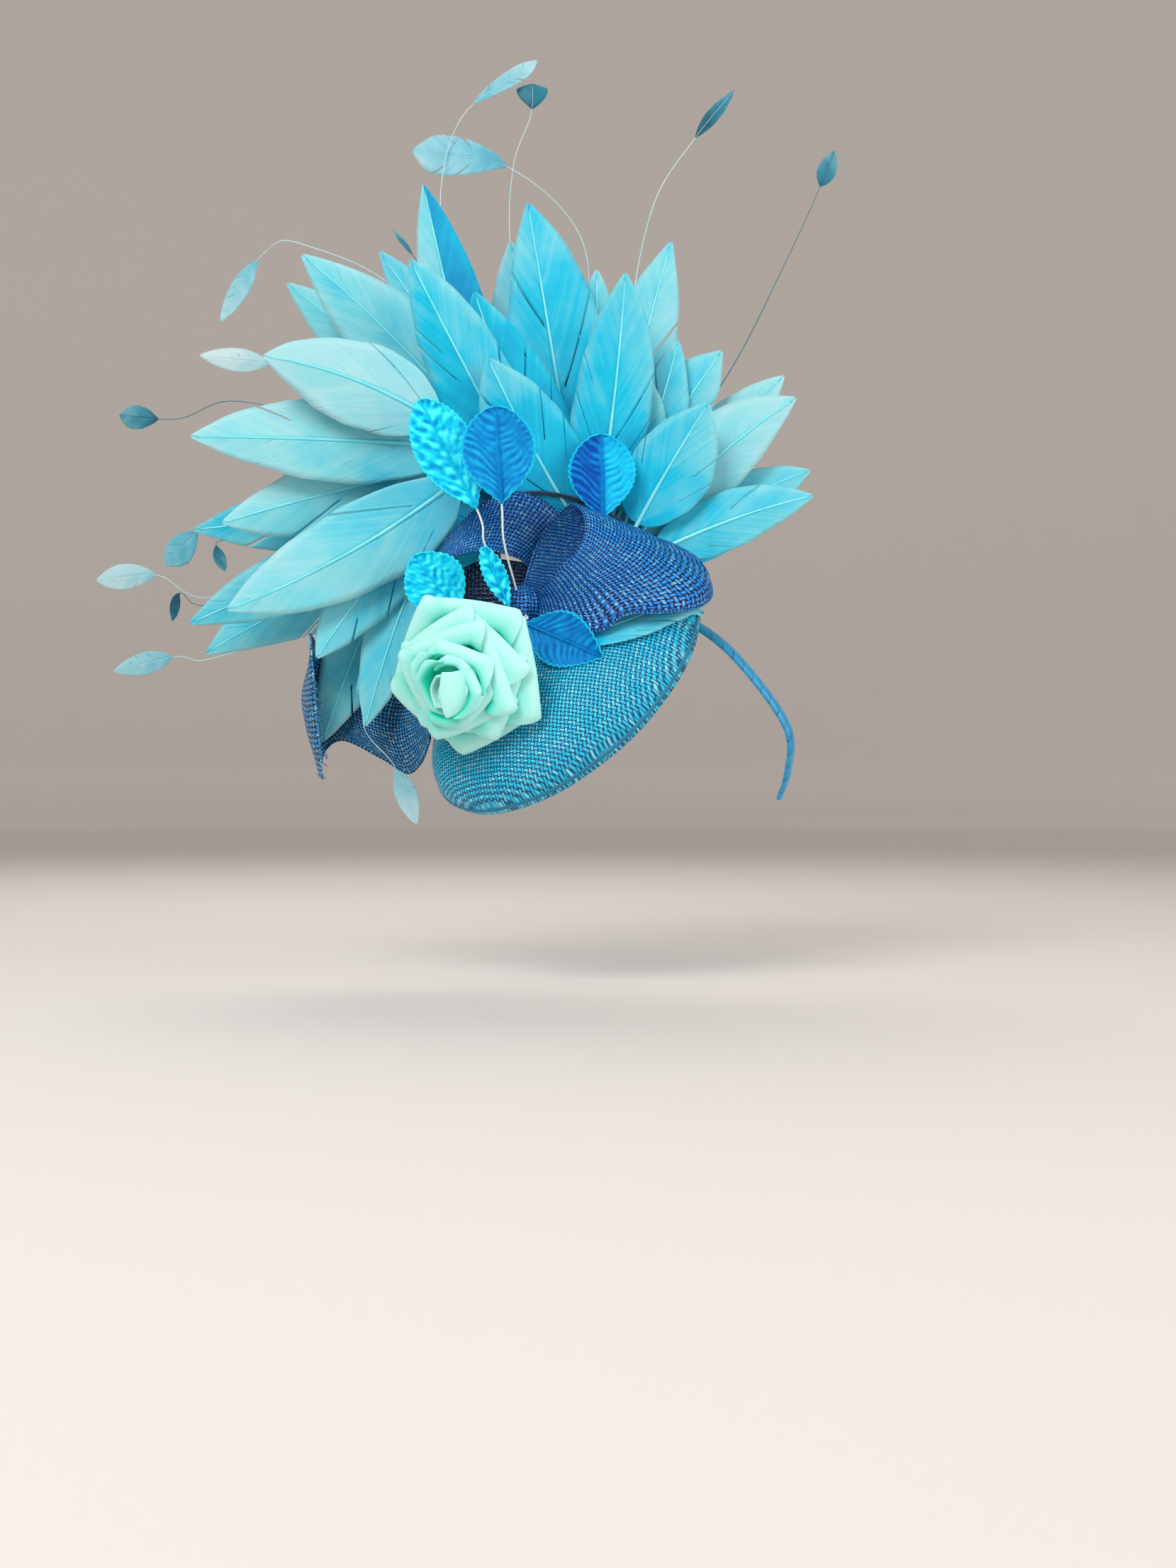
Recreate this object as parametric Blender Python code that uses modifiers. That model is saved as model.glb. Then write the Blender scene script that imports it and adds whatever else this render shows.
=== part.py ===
"""Saucer fascinator on a headband: a woven dome, ribbon loops, a foam rose,
velvet leaves, a fan of trimmed goose feathers and fine stripped quills.

The main frame is the wearer's: +Z is up as worn, -Y is forward and +X is the
wearer's left. The origin is on the crown of the head, under the headband.
The trim is laid out in its own frame, which is turned about +Z so that its
-Y side faces the way the trim looks. All sizes in the tables are millimetres.
"""

import math

import bmesh
import bpy
from mathutils import Matrix, Vector

MM = 0.001
GAP = 0.3                       # clearance between pieces that touch
TRIM_TURN = 26.0                # degrees from the wearer's front to the trim's

# Woven dome
DOME_CENTRE = Vector((-26.0, -14.0, -43.0))
DOME_UP = Vector((-0.50, -0.63, 0.59)).normalized()
DOME_LONG = Vector((0.72, 0.075, 0.69))
DOME_HALF_LENGTH = 86.0
DOME_HALF_WIDTH = 65.0
DOME_HEIGHT = 33.0
DOME_WALL = 2.0
DOME_SEGMENTS = 32
DOME_RINGS = 12
RIM_TUCK_IN = 0.965
RIM_TUCK_DOWN = 3.0

# Headband
BAND_WIDTH = 8.0
BAND_THICKNESS = 2.5
BAND_LEAN = 22.0                # degrees that the band's plane leans forward
BAND_STEPS = 36
BAND_CROWN = 0.6

# Feather arch
ARCH_WIDTH = 37.0
ARCH_MIDDLE_DEPTH = 12.5
ARCH_THICKNESS = 2.4
ARCH_STEPS = 26

# Feather fan
FAN_CENTRE = Vector((-25.0, 26.0))
FAN_START = 30.0
FAN_FRONT = 3.0
FAN_LAYER_GAP = 5.0
FAN_LEAN = 0.14
FAN_LEAN_STEP = 0.065
FAN_CUP = 0.0004
FEATHER_THICKNESS = 0.9
FEATHER_STEPS = 11
QUILL_HALF_WIDTH = 1.0
QUILL_STAND_OFF = 0.72
BARE_QUILL = 0.07
VANE_DROOP = 0.1
VANE_WIDEST = 0.42              # where along the vane it is widest

# Stripped quills
WISP_THICKNESS = 0.9
WISP_HALF_WIDTH = 0.55
WISP_STEPS = 13
BINDING_RADIUS = 5.5
BINDING_DEPTH = 36.6
SPRAY_LEAN = 0.2

# Ribbon loops
RIBBON_THICKNESS = 1.4
LOOP_LOW_BELLY = 8.0
KNOT_RADIUS = 11.5
KNOT_ALONG = 11.4
KNOT_ACROSS = 17.8

# Felt pad between the dome and the band
PAD_RADIUS = 7.0
PAD_ALONG = 47.0
PAD_ACROSS = 15.0
PAD_SIDES = 16

# Rose
ROSE_CENTRE = Vector((-76.0, -65.0, -38.5))
ROSE_AXIS = Vector((-0.30, -0.92, -0.24)).normalized()
ROSE_DEPTH = 27.0
PETAL_THICKNESS = 1.6
PETAL_CORNER = 27.0

# Leaves
LEAF_THICKNESS = 1.1
LEAF_WIRE_HALF = 0.8

SATIN = ((0.01, 0.42, 0.62), 0.35)
STRAW = ((0.01, 0.30, 0.42), 0.6)
RIBBON = ((0.01, 0.06, 0.26), 0.6)
FELT = ((0.01, 0.05, 0.15), 0.9)
FOAM = ((0.50, 0.88, 0.72), 0.7)
VELVET_LIGHT = ((0.01, 0.47, 0.72), 0.7)
VELVET_DARK = ((0.01, 0.16, 0.45), 0.7)
PLUME = ((0.14, 0.58, 0.72), 0.55)
QUILLS = ((0.12, 0.44, 0.52), 0.55)

# Centre line of half the band: distance to the side and distance down
BAND_PROFILE = (
    ("side", "down"),
    (0.0, 0.0),
    (30.0, 5.0),
    (55.0, 20.0),
    (75.0, 45.0),
    (88.0, 72.0),
    (84.0, 95.0),
    (77.0, 110.0),
)

# Middle line of the arch that the feathers stand on, from left foot to right
ARCH_LINE = (
    ("across", "up"),
    (-61.0, -19.0),
    (-62.6, 15.0),
    (-62.5, 40.0),
    (-57.5, 55.0),
    (-46.0, 61.0),
    (-25.0, 59.0),
    (-4.0, 50.5),
    (12.5, 37.0),
    (21.5, 15.0),
)

# Goose feathers, front layer 0 to back layer 6. "seat" is where the quill
# meets the arch, from 0 at its left foot to 1 at its right foot. "tip_across"
# and "tip_up" are in the trim's frame and "bow" is the shaft's side bend.
FEATHERS = (
    ("name", "layer", "seat", "tip_across", "tip_up", "width", "bow"),
    ("left_1", 1, 0.415, -223, 88, 40, 6),
    ("left_2", 2, 0.385, -210, 44, 38, 8),
    ("left_2_back", 4, 0.375, -231, 45, 38, 2),
    ("left_3", 0, 0.335, -200, -4, 42, -5),
    ("left_3_back", 3, 0.345, -230, -8, 38, -4),
    ("left_3_low", 5, 0.325, -227, -22, 34, -12),
    ("left_4", 0, 0.435, -183, 128, 42, 14),
    ("left_5", 5, 0.450, -182, 185, 40, 6),
    ("left_6", 3, 0.480, -169, 192, 38, 10),
    ("left_6_side", 4, 0.500, -137, 184, 36, 6),
    ("left_6_back", 6, 0.505, -132, 207, 36, 6),
    ("left_7", 1, 0.515, -108, 183, 36, 6),
    ("left_8", 3, 0.535, -103, 230, 36, 4),
    ("middle_1", 2, 0.575, -75, 170, 42, 6),
    ("middle_2", 0, 0.600, -67, 131, 40, 3),
    ("top_1_back", 5, 0.580, -63, 212, 38, 4),
    ("top_1", 4, 0.610, -47, 225, 43, 4),
    ("top_2_back", 5, 0.690, -9, 192, 34, -2),
    ("top_2", 1, 0.715, 6, 177, 38, -3),
    ("top_3", 4, 0.735, 32, 204, 36, -5),
    ("top_3_front", 2, 0.760, 18, 126, 34, -4),
    ("top_4", 3, 0.800, 59, 141, 34, -6),
    ("right_1_back", 4, 0.860, 94, 130, 34, -6),
    ("right_1", 2, 0.855, 98, 113, 34, -8),
    ("right_2", 0, 0.840, 50, 107, 36, -6),
    ("right_3_back", 3, 0.915, 107, 76, 30, -6),
    ("right_3", 1, 0.925, 106, 59, 28, -5),
    ("low_1", 1, 0.315, -158, -28, 32, -6),
    ("low_2", 3, 0.275, -158, -72, 34, -12),
    ("low_3", 1.6, 0.255, -133, -64, 30, -8),
)

# Stripped quills with a leaf of vane left at the tip. Their points are in the
# trim's frame, "vane" is the leaf's length, and "shift" is a quill's depth
# against its spray.
WISPS_LEFT = (
    ("shift", "width", "vane", "route"),
    (3.5, 10, 42, ((-164, 126), (-177, 141), (-192, 144), (-236, 151))),
    (1.2, 10, 32, ((-154, 106), (-215, 124), (-248, 115), (-284, 118))),
    (-1.2, 10, 25, ((-154, 65), (-221, 55), (-238, 49), (-256, 31))),
    (3.6, 13, 36, ((-154, 34), (-229, 12), (-260, 25), (-297, 23))),
    (1.2, 6, 17, ((-154, 30), (-229, 8), (-247, 15), (-252, -1))),
    (-1.4, 7, 16, ((-154, 49), (-218, 45), (-226, 42), (-221, 27))),
    (-3.6, 13, 37, ((-154, 3), (-229, -22), (-251, -21), (-289, -29))),
)
WISPS_TOP = (
    ("shift", "width", "vane", "route"),
    (-3.2, 9, 40, ((-113, 178), (-177, 216), (-201, 212), (-226, 172))),
    (3.0, 10, 38, ((-82, 178), (-98, 230), (-84, 288), (-44, 318))),
    (1.0, 17, 55, ((-18, 149), (-17, 214), (-58, 258), (-114, 269))),
    (-1.2, 13, 14, ((-57, 199), (-57, 258), (-47, 291), (-46, 309))),
    (-3.4, 5, 18, ((-82, 168), (-101, 188), (-114, 208), (-126, 224))),
)
WISPS_RIGHT = (
    ("shift", "width", "vane", "route"),
    (1.6, 8, 35, ((9, 157), (23, 235), (48, 278), (71, 308))),
    (-1.6, 11, 24, ((65, 137), (98, 202), (119, 248), (129, 273))),
)
SPRAYS = (
    ("name", "seat", "wisps"),
    ("spray_left", 0.420, WISPS_LEFT),
    ("spray_top", 0.540, WISPS_TOP),
    ("spray_right", 0.800, WISPS_RIGHT),
)

# Front ribbon loop. "along" runs from the near end over the fold at 0.5 to
# the far end; the angles are those of the two hems about the knot.
LOOP_FRONT_HEMS = (
    ("along", "low_angle", "high_angle"),
    (0.00, -30.0, 36.0),
    (0.19, -24.0, 40.0),
    (0.25, -8.0, 40.0),
    (0.31, -5.0, 43.0),
    (0.41, -1.0, 53.0),
    (0.50, 5.0, 62.0),
    (0.60, 15.0, 67.0),
    (0.75, 26.0, 76.0),
    (1.00, 32.0, 86.0),
)
LOOP_FRONT_REACH = (
    ("across", "reach", "near_bulge"),
    (0.00, 99.5, 38.0),
    (0.07, 98.8, 38.0),
    (0.29, 82.0, 31.0),
    (0.58, 67.7, 27.0),
    (0.79, 63.0, 25.0),
    (1.00, 59.5, 23.0),
)
LOOP_FRONT_FAR_BULGE = 10.0
LOOP_FRONT_STEPS = 24
LOOP_FRONT_COLUMNS = 6

# Back ribbon loop: its two hems, from the left foot over the top to the knot
LOOP_BACK = (
    ("front_across", "front_deep", "front_up", "back_across", "back_deep", "back_up"),
    (-101.0, -18.0, -6.0, -103.0, -13.0, -3.0),
    (-99.0, -20.0, 4.0, -100.0, -14.0, 8.0),
    (-92.0, -23.0, 20.0, -95.0, -10.5, 23.0),
    (-80.0, -25.0, 27.0, -85.0, -8.9, 40.0),
    (-66.0, -24.0, 28.5, -70.0, -8.3, 54.0),
    (-56.0, -20.0, 27.0, -54.0, -8.1, 61.0),
    (-48.0, -14.5, 24.0, -36.0, -8.1, 55.0),
    (-43.0, -12.2, 17.0, -27.0, -8.3, 42.0),
    (-43.5, -12.6, 12.0, -32.0, -9.0, 22.0),
)

# Low ribbon loop: its upper and lower hem, from the dome out to the end fold
LOOP_LOW = (
    ("top_across", "top_deep", "top_up", "low_across", "low_deep", "low_up"),
    (-96.0, -8.0, -43.0, -97.5, -12.0, -70.0),
    (-103.0, 14.0, -34.0, -104.0, 2.0, -83.0),
    (-116.0, 24.0, -31.0, -112.0, 11.0, -88.0),
    (-134.0, 25.0, -31.0, -126.0, 18.0, -80.0),
    (-150.0, 25.0, -29.0, -143.0, 20.0, -73.0),
    (-160.0, 17.0, -25.0, -157.0, 13.0, -82.0),
    (-161.0, 3.0, -19.0, -158.0, 2.0, -88.0),
    (-161.0, -12.0, -15.0, -155.0, -9.0, -91.0),
)

# Short dark ribbon that closes the space behind the leaves' wires
TUCK = (
    ("top_across", "top_deep", "top_up", "low_across", "low_deep", "low_up"),
    (-80.0, -7.6, 20.0, -80.0, -7.6, -3.0),
    (-70.0, -9.3, 24.0, -71.0, -9.3, -9.0),
    (-58.0, -11.2, 24.0, -60.0, -11.2, -8.0),
    (-48.6, -12.7, 22.0, -49.6, -12.7, -3.0),
)

# Half the outline of the rose's rolled heart and its stem, along the rose's axis
HEART_PROFILE = (
    ("radius", "height"),
    (0.0, 46.0),
    (3.0, 45.0),
    (5.2, 40.0),
    (6.0, 30.0),
    (6.0, 6.0),
    (4.4, 2.0),
    (4.2, -24.0),
    (0.0, -24.0),
)
HEART_STEPS = 14

# Petals in three rings. Angles are about the rose's axis, "lap" is how far a
# petal's first edge stands off its last, "reach" is the distance from the axis
# to the rim, and "foot_height" and "rim_height" are along the axis.
PETALS = (
    ("name", "ring", "angle", "span", "foot_radius", "lap", "reach", "foot_height",
     "rim_height"),
    ("petal_inner_1", 1, 60.0, 215.0, 7.2, 2.8, 11.0, 5.0, 45.0),
    ("petal_inner_2", 1, 240.0, 215.0, 7.2, 2.8, 11.0, 5.0, 44.0),
    ("petal_middle_1", 2, 20.0, 160.0, 12.0, 3.2, 25.0, 6.0, 38.0),
    ("petal_middle_2", 2, 140.0, 160.0, 12.0, 3.2, 26.0, 6.0, 38.0),
    ("petal_middle_3", 2, 260.0, 160.0, 12.0, 3.2, 26.0, 6.0, 38.0),
    ("petal_outer_1", 3, 88.0, 122.0, 17.4, 3.3, 39.0, 8.0, 27.0),
    ("petal_outer_2", 3, 172.0, 122.0, 17.4, 3.3, 40.0, 8.0, 27.0),
    ("petal_outer_3", 3, 256.0, 122.0, 17.4, 3.3, 38.5, 8.0, 27.0),
    ("petal_outer_4", 3, 352.0, 122.0, 17.4, 3.3, 38.0, 8.0, 27.0),
)

# Short feather on the dome: its ends in the dome's own directions
UNDER_START = Vector((18.0, -16.0))
UNDER_END = Vector((81.0, -36.0))
UNDER_BOW = -5.0
UNDER_HALF_WIDTH = 9.0
UNDER_LIFT = 1.05
UNDER_RISE = 1.5

# Single stripped quill below the low loop
LOW_WISP_SEAT = 0.235
LOW_WISP_LAYER = 2.4
LOW_WISP_VANE_START = 0.8
LOW_WISP_HALF_WIDTH = 6.0
LOW_WISP_ROUTE = (
    ("across", "up"),
    (-110.0, -10.0),
    (-135.0, -58.0),
    (-118.0, -85.0),
    (-106.0, -116.0),
)

# Leaves: from the tip down the middle rib to the blade's foot, then the wire
LEAVES = (
    ("name", "colour", "width", "ends_on", "tip", "foot", "wire"),
    ("leaf_bright", VELVET_LIGHT, 31, "knot", (-99, -42, 102), (-71, -44, 47),
     ((-67, -42, 29), (-55.8, -32.6, 6.8))),
    ("leaf_round", VELVET_DARK, 38, "knot", (-61, -52, 98), (-58, -50, 49),
     ((-57, -46, 30), (-51.3, -35.4, 7.1))),
    ("leaf_right", VELVET_DARK, 33, "dome", (-3, -15, 91), (-4, -14, 48),
     ((-8, -14, 34), (-13.5, -17.4, 10.6))),
    ("leaf_left", VELVET_LIGHT, 32, "knot", (-101, -29, 22), (-83, -27, -6),
     ((-76, -27, -7), (-60.9, -27.2, -2.5))),
    ("leaf_narrow", VELVET_LIGHT, 13, "knot", (-68, -46, 28), (-54, -42, -4),
     ((-53.4, -40.5, -3.8), (-52.8, -38.9, -3.5))),
    ("leaf_dark", VELVET_DARK, 27, "knot", (-9, -61, -25), (-44, -45, -12),
     ((-45, -41, -9), (-45.8, -38.0, -7.8))),
)


def rows(table):
    """Yields a table's rows as dictionaries keyed by the column names."""
    names = table[0]
    for row in table[1:]:
        yield dict(zip(names, row))


def column(table, name):
    """Returns one named column of a table."""
    return [row[name] for row in rows(table)]


def step_read(xs, ys, x):
    """Reads y at x on straight lines between the given points."""
    if x <= xs[0]:
        return ys[0]
    for left, right, low, high in zip(xs, xs[1:], ys, ys[1:]):
        if x <= right:
            return low + (high - low) * (x - left) / (right - left)
    return ys[-1]


def on_line(points, position):
    """Returns the point at 0..1 on a smooth line through the given points."""
    points = [Vector(point) for point in points]
    lengths = [0.0]
    for start, end in zip(points, points[1:]):
        lengths.append(lengths[-1] + (end - start).length)
    target = min(max(position, 0.0), 1.0) * lengths[-1]
    index = 0
    while index < len(points) - 2 and lengths[index + 1] < target:
        index += 1
    before = points[max(index - 1, 0)]
    start = points[index]
    end = points[index + 1]
    after = points[min(index + 2, len(points) - 1)]
    t = (target - lengths[index]) / (lengths[index + 1] - lengths[index])
    leave = (end - before) * 0.5
    arrive = (after - start) * 0.5
    cube = t * t * t
    square = t * t
    return (start * (2 * cube - 3 * square + 1) + leave * (cube - 2 * square + t)
            + end * (3 * square - 2 * cube) + arrive * (cube - square))


def make_material(name, look):
    """Makes a Principled material from a (colour, roughness) pair."""
    colour, roughness = look
    material = bpy.data.materials.new(name)
    material.use_nodes = True
    shader = material.node_tree.nodes["Principled BSDF"]
    shader.inputs["Base Color"].default_value = (*colour, 1.0)
    shader.inputs["Roughness"].default_value = roughness
    shader.inputs["Metallic"].default_value = 0.0
    material.diffuse_color = (*colour, 1.0)
    return material


def finish(obj, look, collection, parent=None):
    """Gives an object its material, its collection and its parent."""
    obj.data.materials.append(make_material(obj.name, look))
    for holder in list(obj.users_collection):
        holder.objects.unlink(obj)
    collection.objects.link(obj)
    if parent is not None:
        obj.parent = parent
    return obj


def add_solidify(obj, thickness, offset=0.0):
    """Turns an open sheet into a wall of the given thickness in mm."""
    wall = obj.modifiers.new("wall", "SOLIDIFY")
    wall.thickness = thickness * MM
    wall.offset = offset
    return wall


def make_sheet(name, steps, columns, place, thickness):
    """Makes a wall from a grid whose points place(along, across) sets in mm."""
    mesh = bpy.data.meshes.new(name)
    bm = bmesh.new()
    bmesh.ops.create_grid(bm, x_segments=columns, y_segments=steps, size=1.0)
    origin = place(0.0, 0.5)
    for vertex in bm.verts:
        across = (vertex.co.x + 1.0) / 2.0
        along = (vertex.co.y + 1.0) / 2.0
        vertex.co = (place(along, across) - origin) * MM
    bm.to_mesh(mesh)
    bm.free()
    mesh.shade_smooth()
    obj = bpy.data.objects.new(name, mesh)
    obj.location = origin * MM
    add_solidify(obj, thickness)
    return obj


def dome_frame():
    """Returns the dome's long, cross and up directions in the trim's frame."""
    long_way = (DOME_LONG - DOME_UP * DOME_LONG.dot(DOME_UP)).normalized()
    return long_way, DOME_UP.cross(long_way), DOME_UP


def dome_point(along, across, lift=0.0):
    """Returns a point on the dome's outer face, lifted off it by some mm."""
    long_way, cross_way, up_way = dome_frame()
    inside = 1.0 - (along / DOME_HALF_LENGTH) ** 2 - (across / DOME_HALF_WIDTH) ** 2
    height = DOME_HEIGHT * math.sqrt(max(inside, 0.0))
    normal = (long_way * (along / DOME_HALF_LENGTH ** 2)
              + cross_way * (across / DOME_HALF_WIDTH ** 2)
              + up_way * (height / DOME_HEIGHT ** 2)).normalized()
    point = DOME_CENTRE + long_way * along + cross_way * across + up_way * height
    return point + normal * lift


def make_dome_cutter(name, growth, trim, holding):
    """Makes the dome's full ellipsoid, grown by some mm, to cut pieces with."""
    bpy.ops.mesh.primitive_uv_sphere_add(segments=DOME_SEGMENTS,
                                         ring_count=DOME_RINGS, radius=1.0)
    cutter = bpy.context.object
    cutter.name = name
    long_way, cross_way, up_way = dome_frame()
    turn = Matrix((long_way, cross_way, up_way)).transposed()
    cutter.location = DOME_CENTRE * MM
    cutter.rotation_euler = turn.to_euler()
    cutter.scale = ((DOME_HALF_LENGTH + growth) * MM,
                    (DOME_HALF_WIDTH + growth) * MM,
                    (DOME_HEIGHT + growth) * MM)
    return keep_as_cutter(cutter, trim, holding)


def keep_as_cutter(cutter, parent, holding):
    """Puts an object among the hidden ones that others are cut with."""
    for holder in list(cutter.users_collection):
        holder.objects.unlink(cutter)
    holding.objects.link(cutter)
    cutter.hide_render = True
    cutter.display_type = "WIRE"
    if parent is not None:
        cutter.parent = parent
    return cutter


def cut(obj, cutter, operation="DIFFERENCE"):
    """Cuts an object by another one with a Boolean modifier."""
    boolean = obj.modifiers.new("cut", "BOOLEAN")
    boolean.operation = operation
    boolean.solver = "EXACT"
    boolean.object = cutter
    return obj


def make_dome(trim, collection):
    """Makes the woven dome: half a squashed sphere with its rim tucked in."""
    mesh = bpy.data.meshes.new("base")
    bm = bmesh.new()
    bmesh.ops.create_uvsphere(bm, u_segments=DOME_SEGMENTS, v_segments=DOME_RINGS,
                              radius=1.0)
    below = [vertex for vertex in bm.verts if vertex.co.z < -0.001]
    bmesh.ops.delete(bm, geom=below, context="VERTS")
    rim = [edge for edge in bm.edges if edge.is_boundary]
    tucked = bmesh.ops.extrude_edge_only(bm, edges=rim)["geom"]
    for vertex in tucked:
        if isinstance(vertex, bmesh.types.BMVert):
            vertex.co.x *= RIM_TUCK_IN
            vertex.co.y *= RIM_TUCK_IN
            vertex.co.z = -RIM_TUCK_DOWN / DOME_HEIGHT
    bmesh.ops.recalc_face_normals(bm, faces=bm.faces)
    size = (DOME_HALF_LENGTH * MM, DOME_HALF_WIDTH * MM, DOME_HEIGHT * MM)
    bmesh.ops.scale(bm, vec=size, verts=bm.verts)
    bm.to_mesh(mesh)
    bm.free()
    mesh.shade_smooth()
    dome = bpy.data.objects.new("base", mesh)
    long_way, cross_way, up_way = dome_frame()
    turn = Matrix((long_way, cross_way, up_way)).transposed()
    dome.location = DOME_CENTRE * MM
    dome.rotation_euler = turn.to_euler()
    add_solidify(dome, DOME_WALL, offset=-1.0)
    return finish(dome, STRAW, collection, trim)


def band_point(along, across):
    """Returns a point of the band's middle surface in the wearer's frame."""
    half = list(BAND_PROFILE[1:])
    line = [(-side, down) for side, down in reversed(half[1:])] + half
    here = on_line(line, along)
    nearby = on_line(line, along + 0.004) - on_line(line, along - 0.004)
    outward = Vector((nearby.y, -nearby.x)).normalized()
    lift = BAND_THICKNESS / 2.0 + BAND_CROWN * (1.0 - (2.0 * across - 1.0) ** 2)
    side = here.x + outward.x * lift
    down = here.y + outward.y * lift
    lean = math.radians(BAND_LEAN)
    width = (across - 0.5) * BAND_WIDTH
    forward = down * math.sin(lean) + width * math.cos(lean)
    drop = down * math.cos(lean) - width * math.sin(lean)
    return Vector((side, forward, -drop))


def make_band(collection):
    """Makes the satin headband, which lies over the head from side to side."""
    band = make_sheet("headband", BAND_STEPS, 2, band_point, BAND_THICKNESS)
    return finish(band, SATIN, collection)


def make_pad(trim, collection, holding):
    """Makes the felt pad that holds the dome off the band on the crown."""
    start = dome_point(PAD_ALONG, PAD_ACROSS)
    end = Vector((0.0, 0.0, 1.0))
    way = end - start
    bpy.ops.mesh.primitive_cylinder_add(vertices=PAD_SIDES, radius=PAD_RADIUS * MM,
                                        depth=way.length * MM)
    pad = bpy.context.object
    pad.name = "stitch_pad"
    pad.location = (start + end) * 0.5 * MM
    pad.rotation_euler = way.to_track_quat("Z", "Y").to_euler()
    hollow = make_dome_cutter("hollow", -DOME_WALL - GAP, trim, holding)
    cut(pad, hollow, "INTERSECT")
    swollen = make_sheet("swollen_band", BAND_STEPS, 2, band_point,
                         BAND_THICKNESS + 2.0 * GAP)
    cut(pad, keep_as_cutter(swollen, None, holding))
    return finish(pad, FELT, collection, trim)


def arch_line(position):
    """Returns a point of the arch's middle line and its outward direction."""
    line = ARCH_LINE[1:]
    point = on_line(line, position)
    nearby = on_line(line, position + 0.01) - on_line(line, position - 0.01)
    outward = Vector((-nearby.y, nearby.x)).normalized()
    return point, outward


def arch_point(along, across):
    """Returns a point of the arch's middle surface."""
    point, _ = arch_line(along)
    deep = ARCH_MIDDLE_DEPTH + (across - 0.5) * ARCH_WIDTH
    return Vector((point.x, deep, point.y))


def make_arch(trim, collection, cutter):
    """Makes the stiff hidden arch that carries the feathers' quills."""
    arch = make_sheet("feather_arch", ARCH_STEPS, 1, arch_point, ARCH_THICKNESS)
    cut(arch, cutter)
    return finish(arch, FELT, collection, trim)


def fan_depth(across, up, layer):
    """Returns how far back a feather layer lies at a place in the fan."""
    out = (Vector((across, up)) - FAN_CENTRE).length - FAN_START
    lean = FAN_LEAN - FAN_LEAN_STEP * layer
    forward = FAN_FRONT - FAN_LAYER_GAP * layer + lean * out + FAN_CUP * out * out
    return -forward


def bent_line(start, end, bow, along):
    """Returns the point and direction at 0..1 on a line bent to one side."""
    way = end - start
    side = Vector((-way.y, way.x)).normalized()
    middle = start + way * 0.5 + side * bow
    point = (start * (1.0 - along) ** 2 + middle * 2.0 * along * (1.0 - along)
             + end * along ** 2)
    direction = (middle - start) * (1.0 - along) + (end - middle) * along
    return point, direction.normalized()


def vane_width(along, half_width):
    """Returns a trimmed feather's half width at 0..1 along its shaft."""
    if along <= BARE_QUILL:
        return QUILL_HALF_WIDTH
    vane = (along - BARE_QUILL) / (1.0 - BARE_QUILL)
    if vane < VANE_WIDEST:
        shape = math.sin(0.5 * math.pi * vane / VANE_WIDEST) ** 0.8
    else:
        past = (vane - VANE_WIDEST) / (1.0 - VANE_WIDEST)
        shape = max(math.cos(0.5 * math.pi * past), 0.0) ** 0.9
    return max(half_width * shape, 0.5 * QUILL_HALF_WIDTH)


def make_feather(row, trim, collection):
    """Makes one trimmed goose feather that stands on the arch."""
    seat, outward = arch_line(row["seat"])
    start = seat + outward * (ARCH_THICKNESS / 2.0 + QUILL_STAND_OFF)
    end = Vector((row["tip_across"], row["tip_up"]))

    def place(along, across):
        point, direction = bent_line(start, end, row["bow"], along)
        side = Vector((-direction.y, direction.x))
        width = vane_width(along, row["width"] / 2.0) * (2.0 * across - 1.0)
        point = point + side * width
        deep = fan_depth(point.x, point.y, row["layer"]) + VANE_DROOP * abs(width)
        return Vector((point.x, deep, point.y))

    name = "feather_" + row["name"]
    feather = make_sheet(name, FEATHER_STEPS, 2, place, FEATHER_THICKNESS)
    return finish(feather, PLUME, collection, trim)


def make_under_feather(trim, collection):
    """Makes the short feather that lies on the dome under the front loop."""
    def place(along, across):
        point, direction = bent_line(UNDER_START, UNDER_END, UNDER_BOW, along)
        side = Vector((-direction.y, direction.x))
        width = max(UNDER_HALF_WIDTH * math.sin(math.pi * along ** 0.8),
                    QUILL_HALF_WIDTH)
        point = point + side * width * (2.0 * across - 1.0)
        return dome_point(point.x, point.y, UNDER_LIFT + UNDER_RISE * along)

    feather = make_sheet("feather_under", 10, 2, place, FEATHER_THICKNESS)
    return finish(feather, PLUME, collection, trim)


def wisp_station(step, vane_start):
    """Spreads a stripped quill's sections so that half of them are in its vane."""
    if step < 0.5:
        return vane_start * step / 0.5
    return vane_start + (1.0 - vane_start) * (step - 0.5) / 0.5


def wisp_width(vane, half_width):
    """Returns the half width of a stripped quill at 0..1 along its vane."""
    if vane <= 0.0 or vane >= 0.999:
        return WISP_HALF_WIDTH
    shape = math.sin(math.pi * vane ** 0.8) ** 0.8
    return max(half_width * shape, WISP_HALF_WIDTH)


def make_wisp(name, row, start, base_depth):
    """Makes one stripped quill with its tip of vane, from a binding."""
    line = [start] + [Vector(point) for point in row["route"]]
    whole = sum((end - near).length for near, end in zip(line, line[1:]))
    half_width = row["width"] / 2.0
    vane_start = 1.0 - row["vane"] / whole

    def place(step, across):
        along = wisp_station(step, vane_start)
        point = on_line(line, along)
        nearby = on_line(line, along + 0.01) - on_line(line, along - 0.01)
        side = Vector((-nearby.y, nearby.x)).normalized()
        vane = (along - vane_start) / (1.0 - vane_start)
        width = wisp_width(vane, half_width)
        point = point + side * width * (2.0 * across - 1.0)
        out = (point - start).length
        deep = base_depth + SPRAY_LEAN * out - row["shift"]
        return Vector((point.x, deep, point.y))

    return make_sheet(name, WISP_STEPS, 1, place, WISP_THICKNESS)


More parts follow.
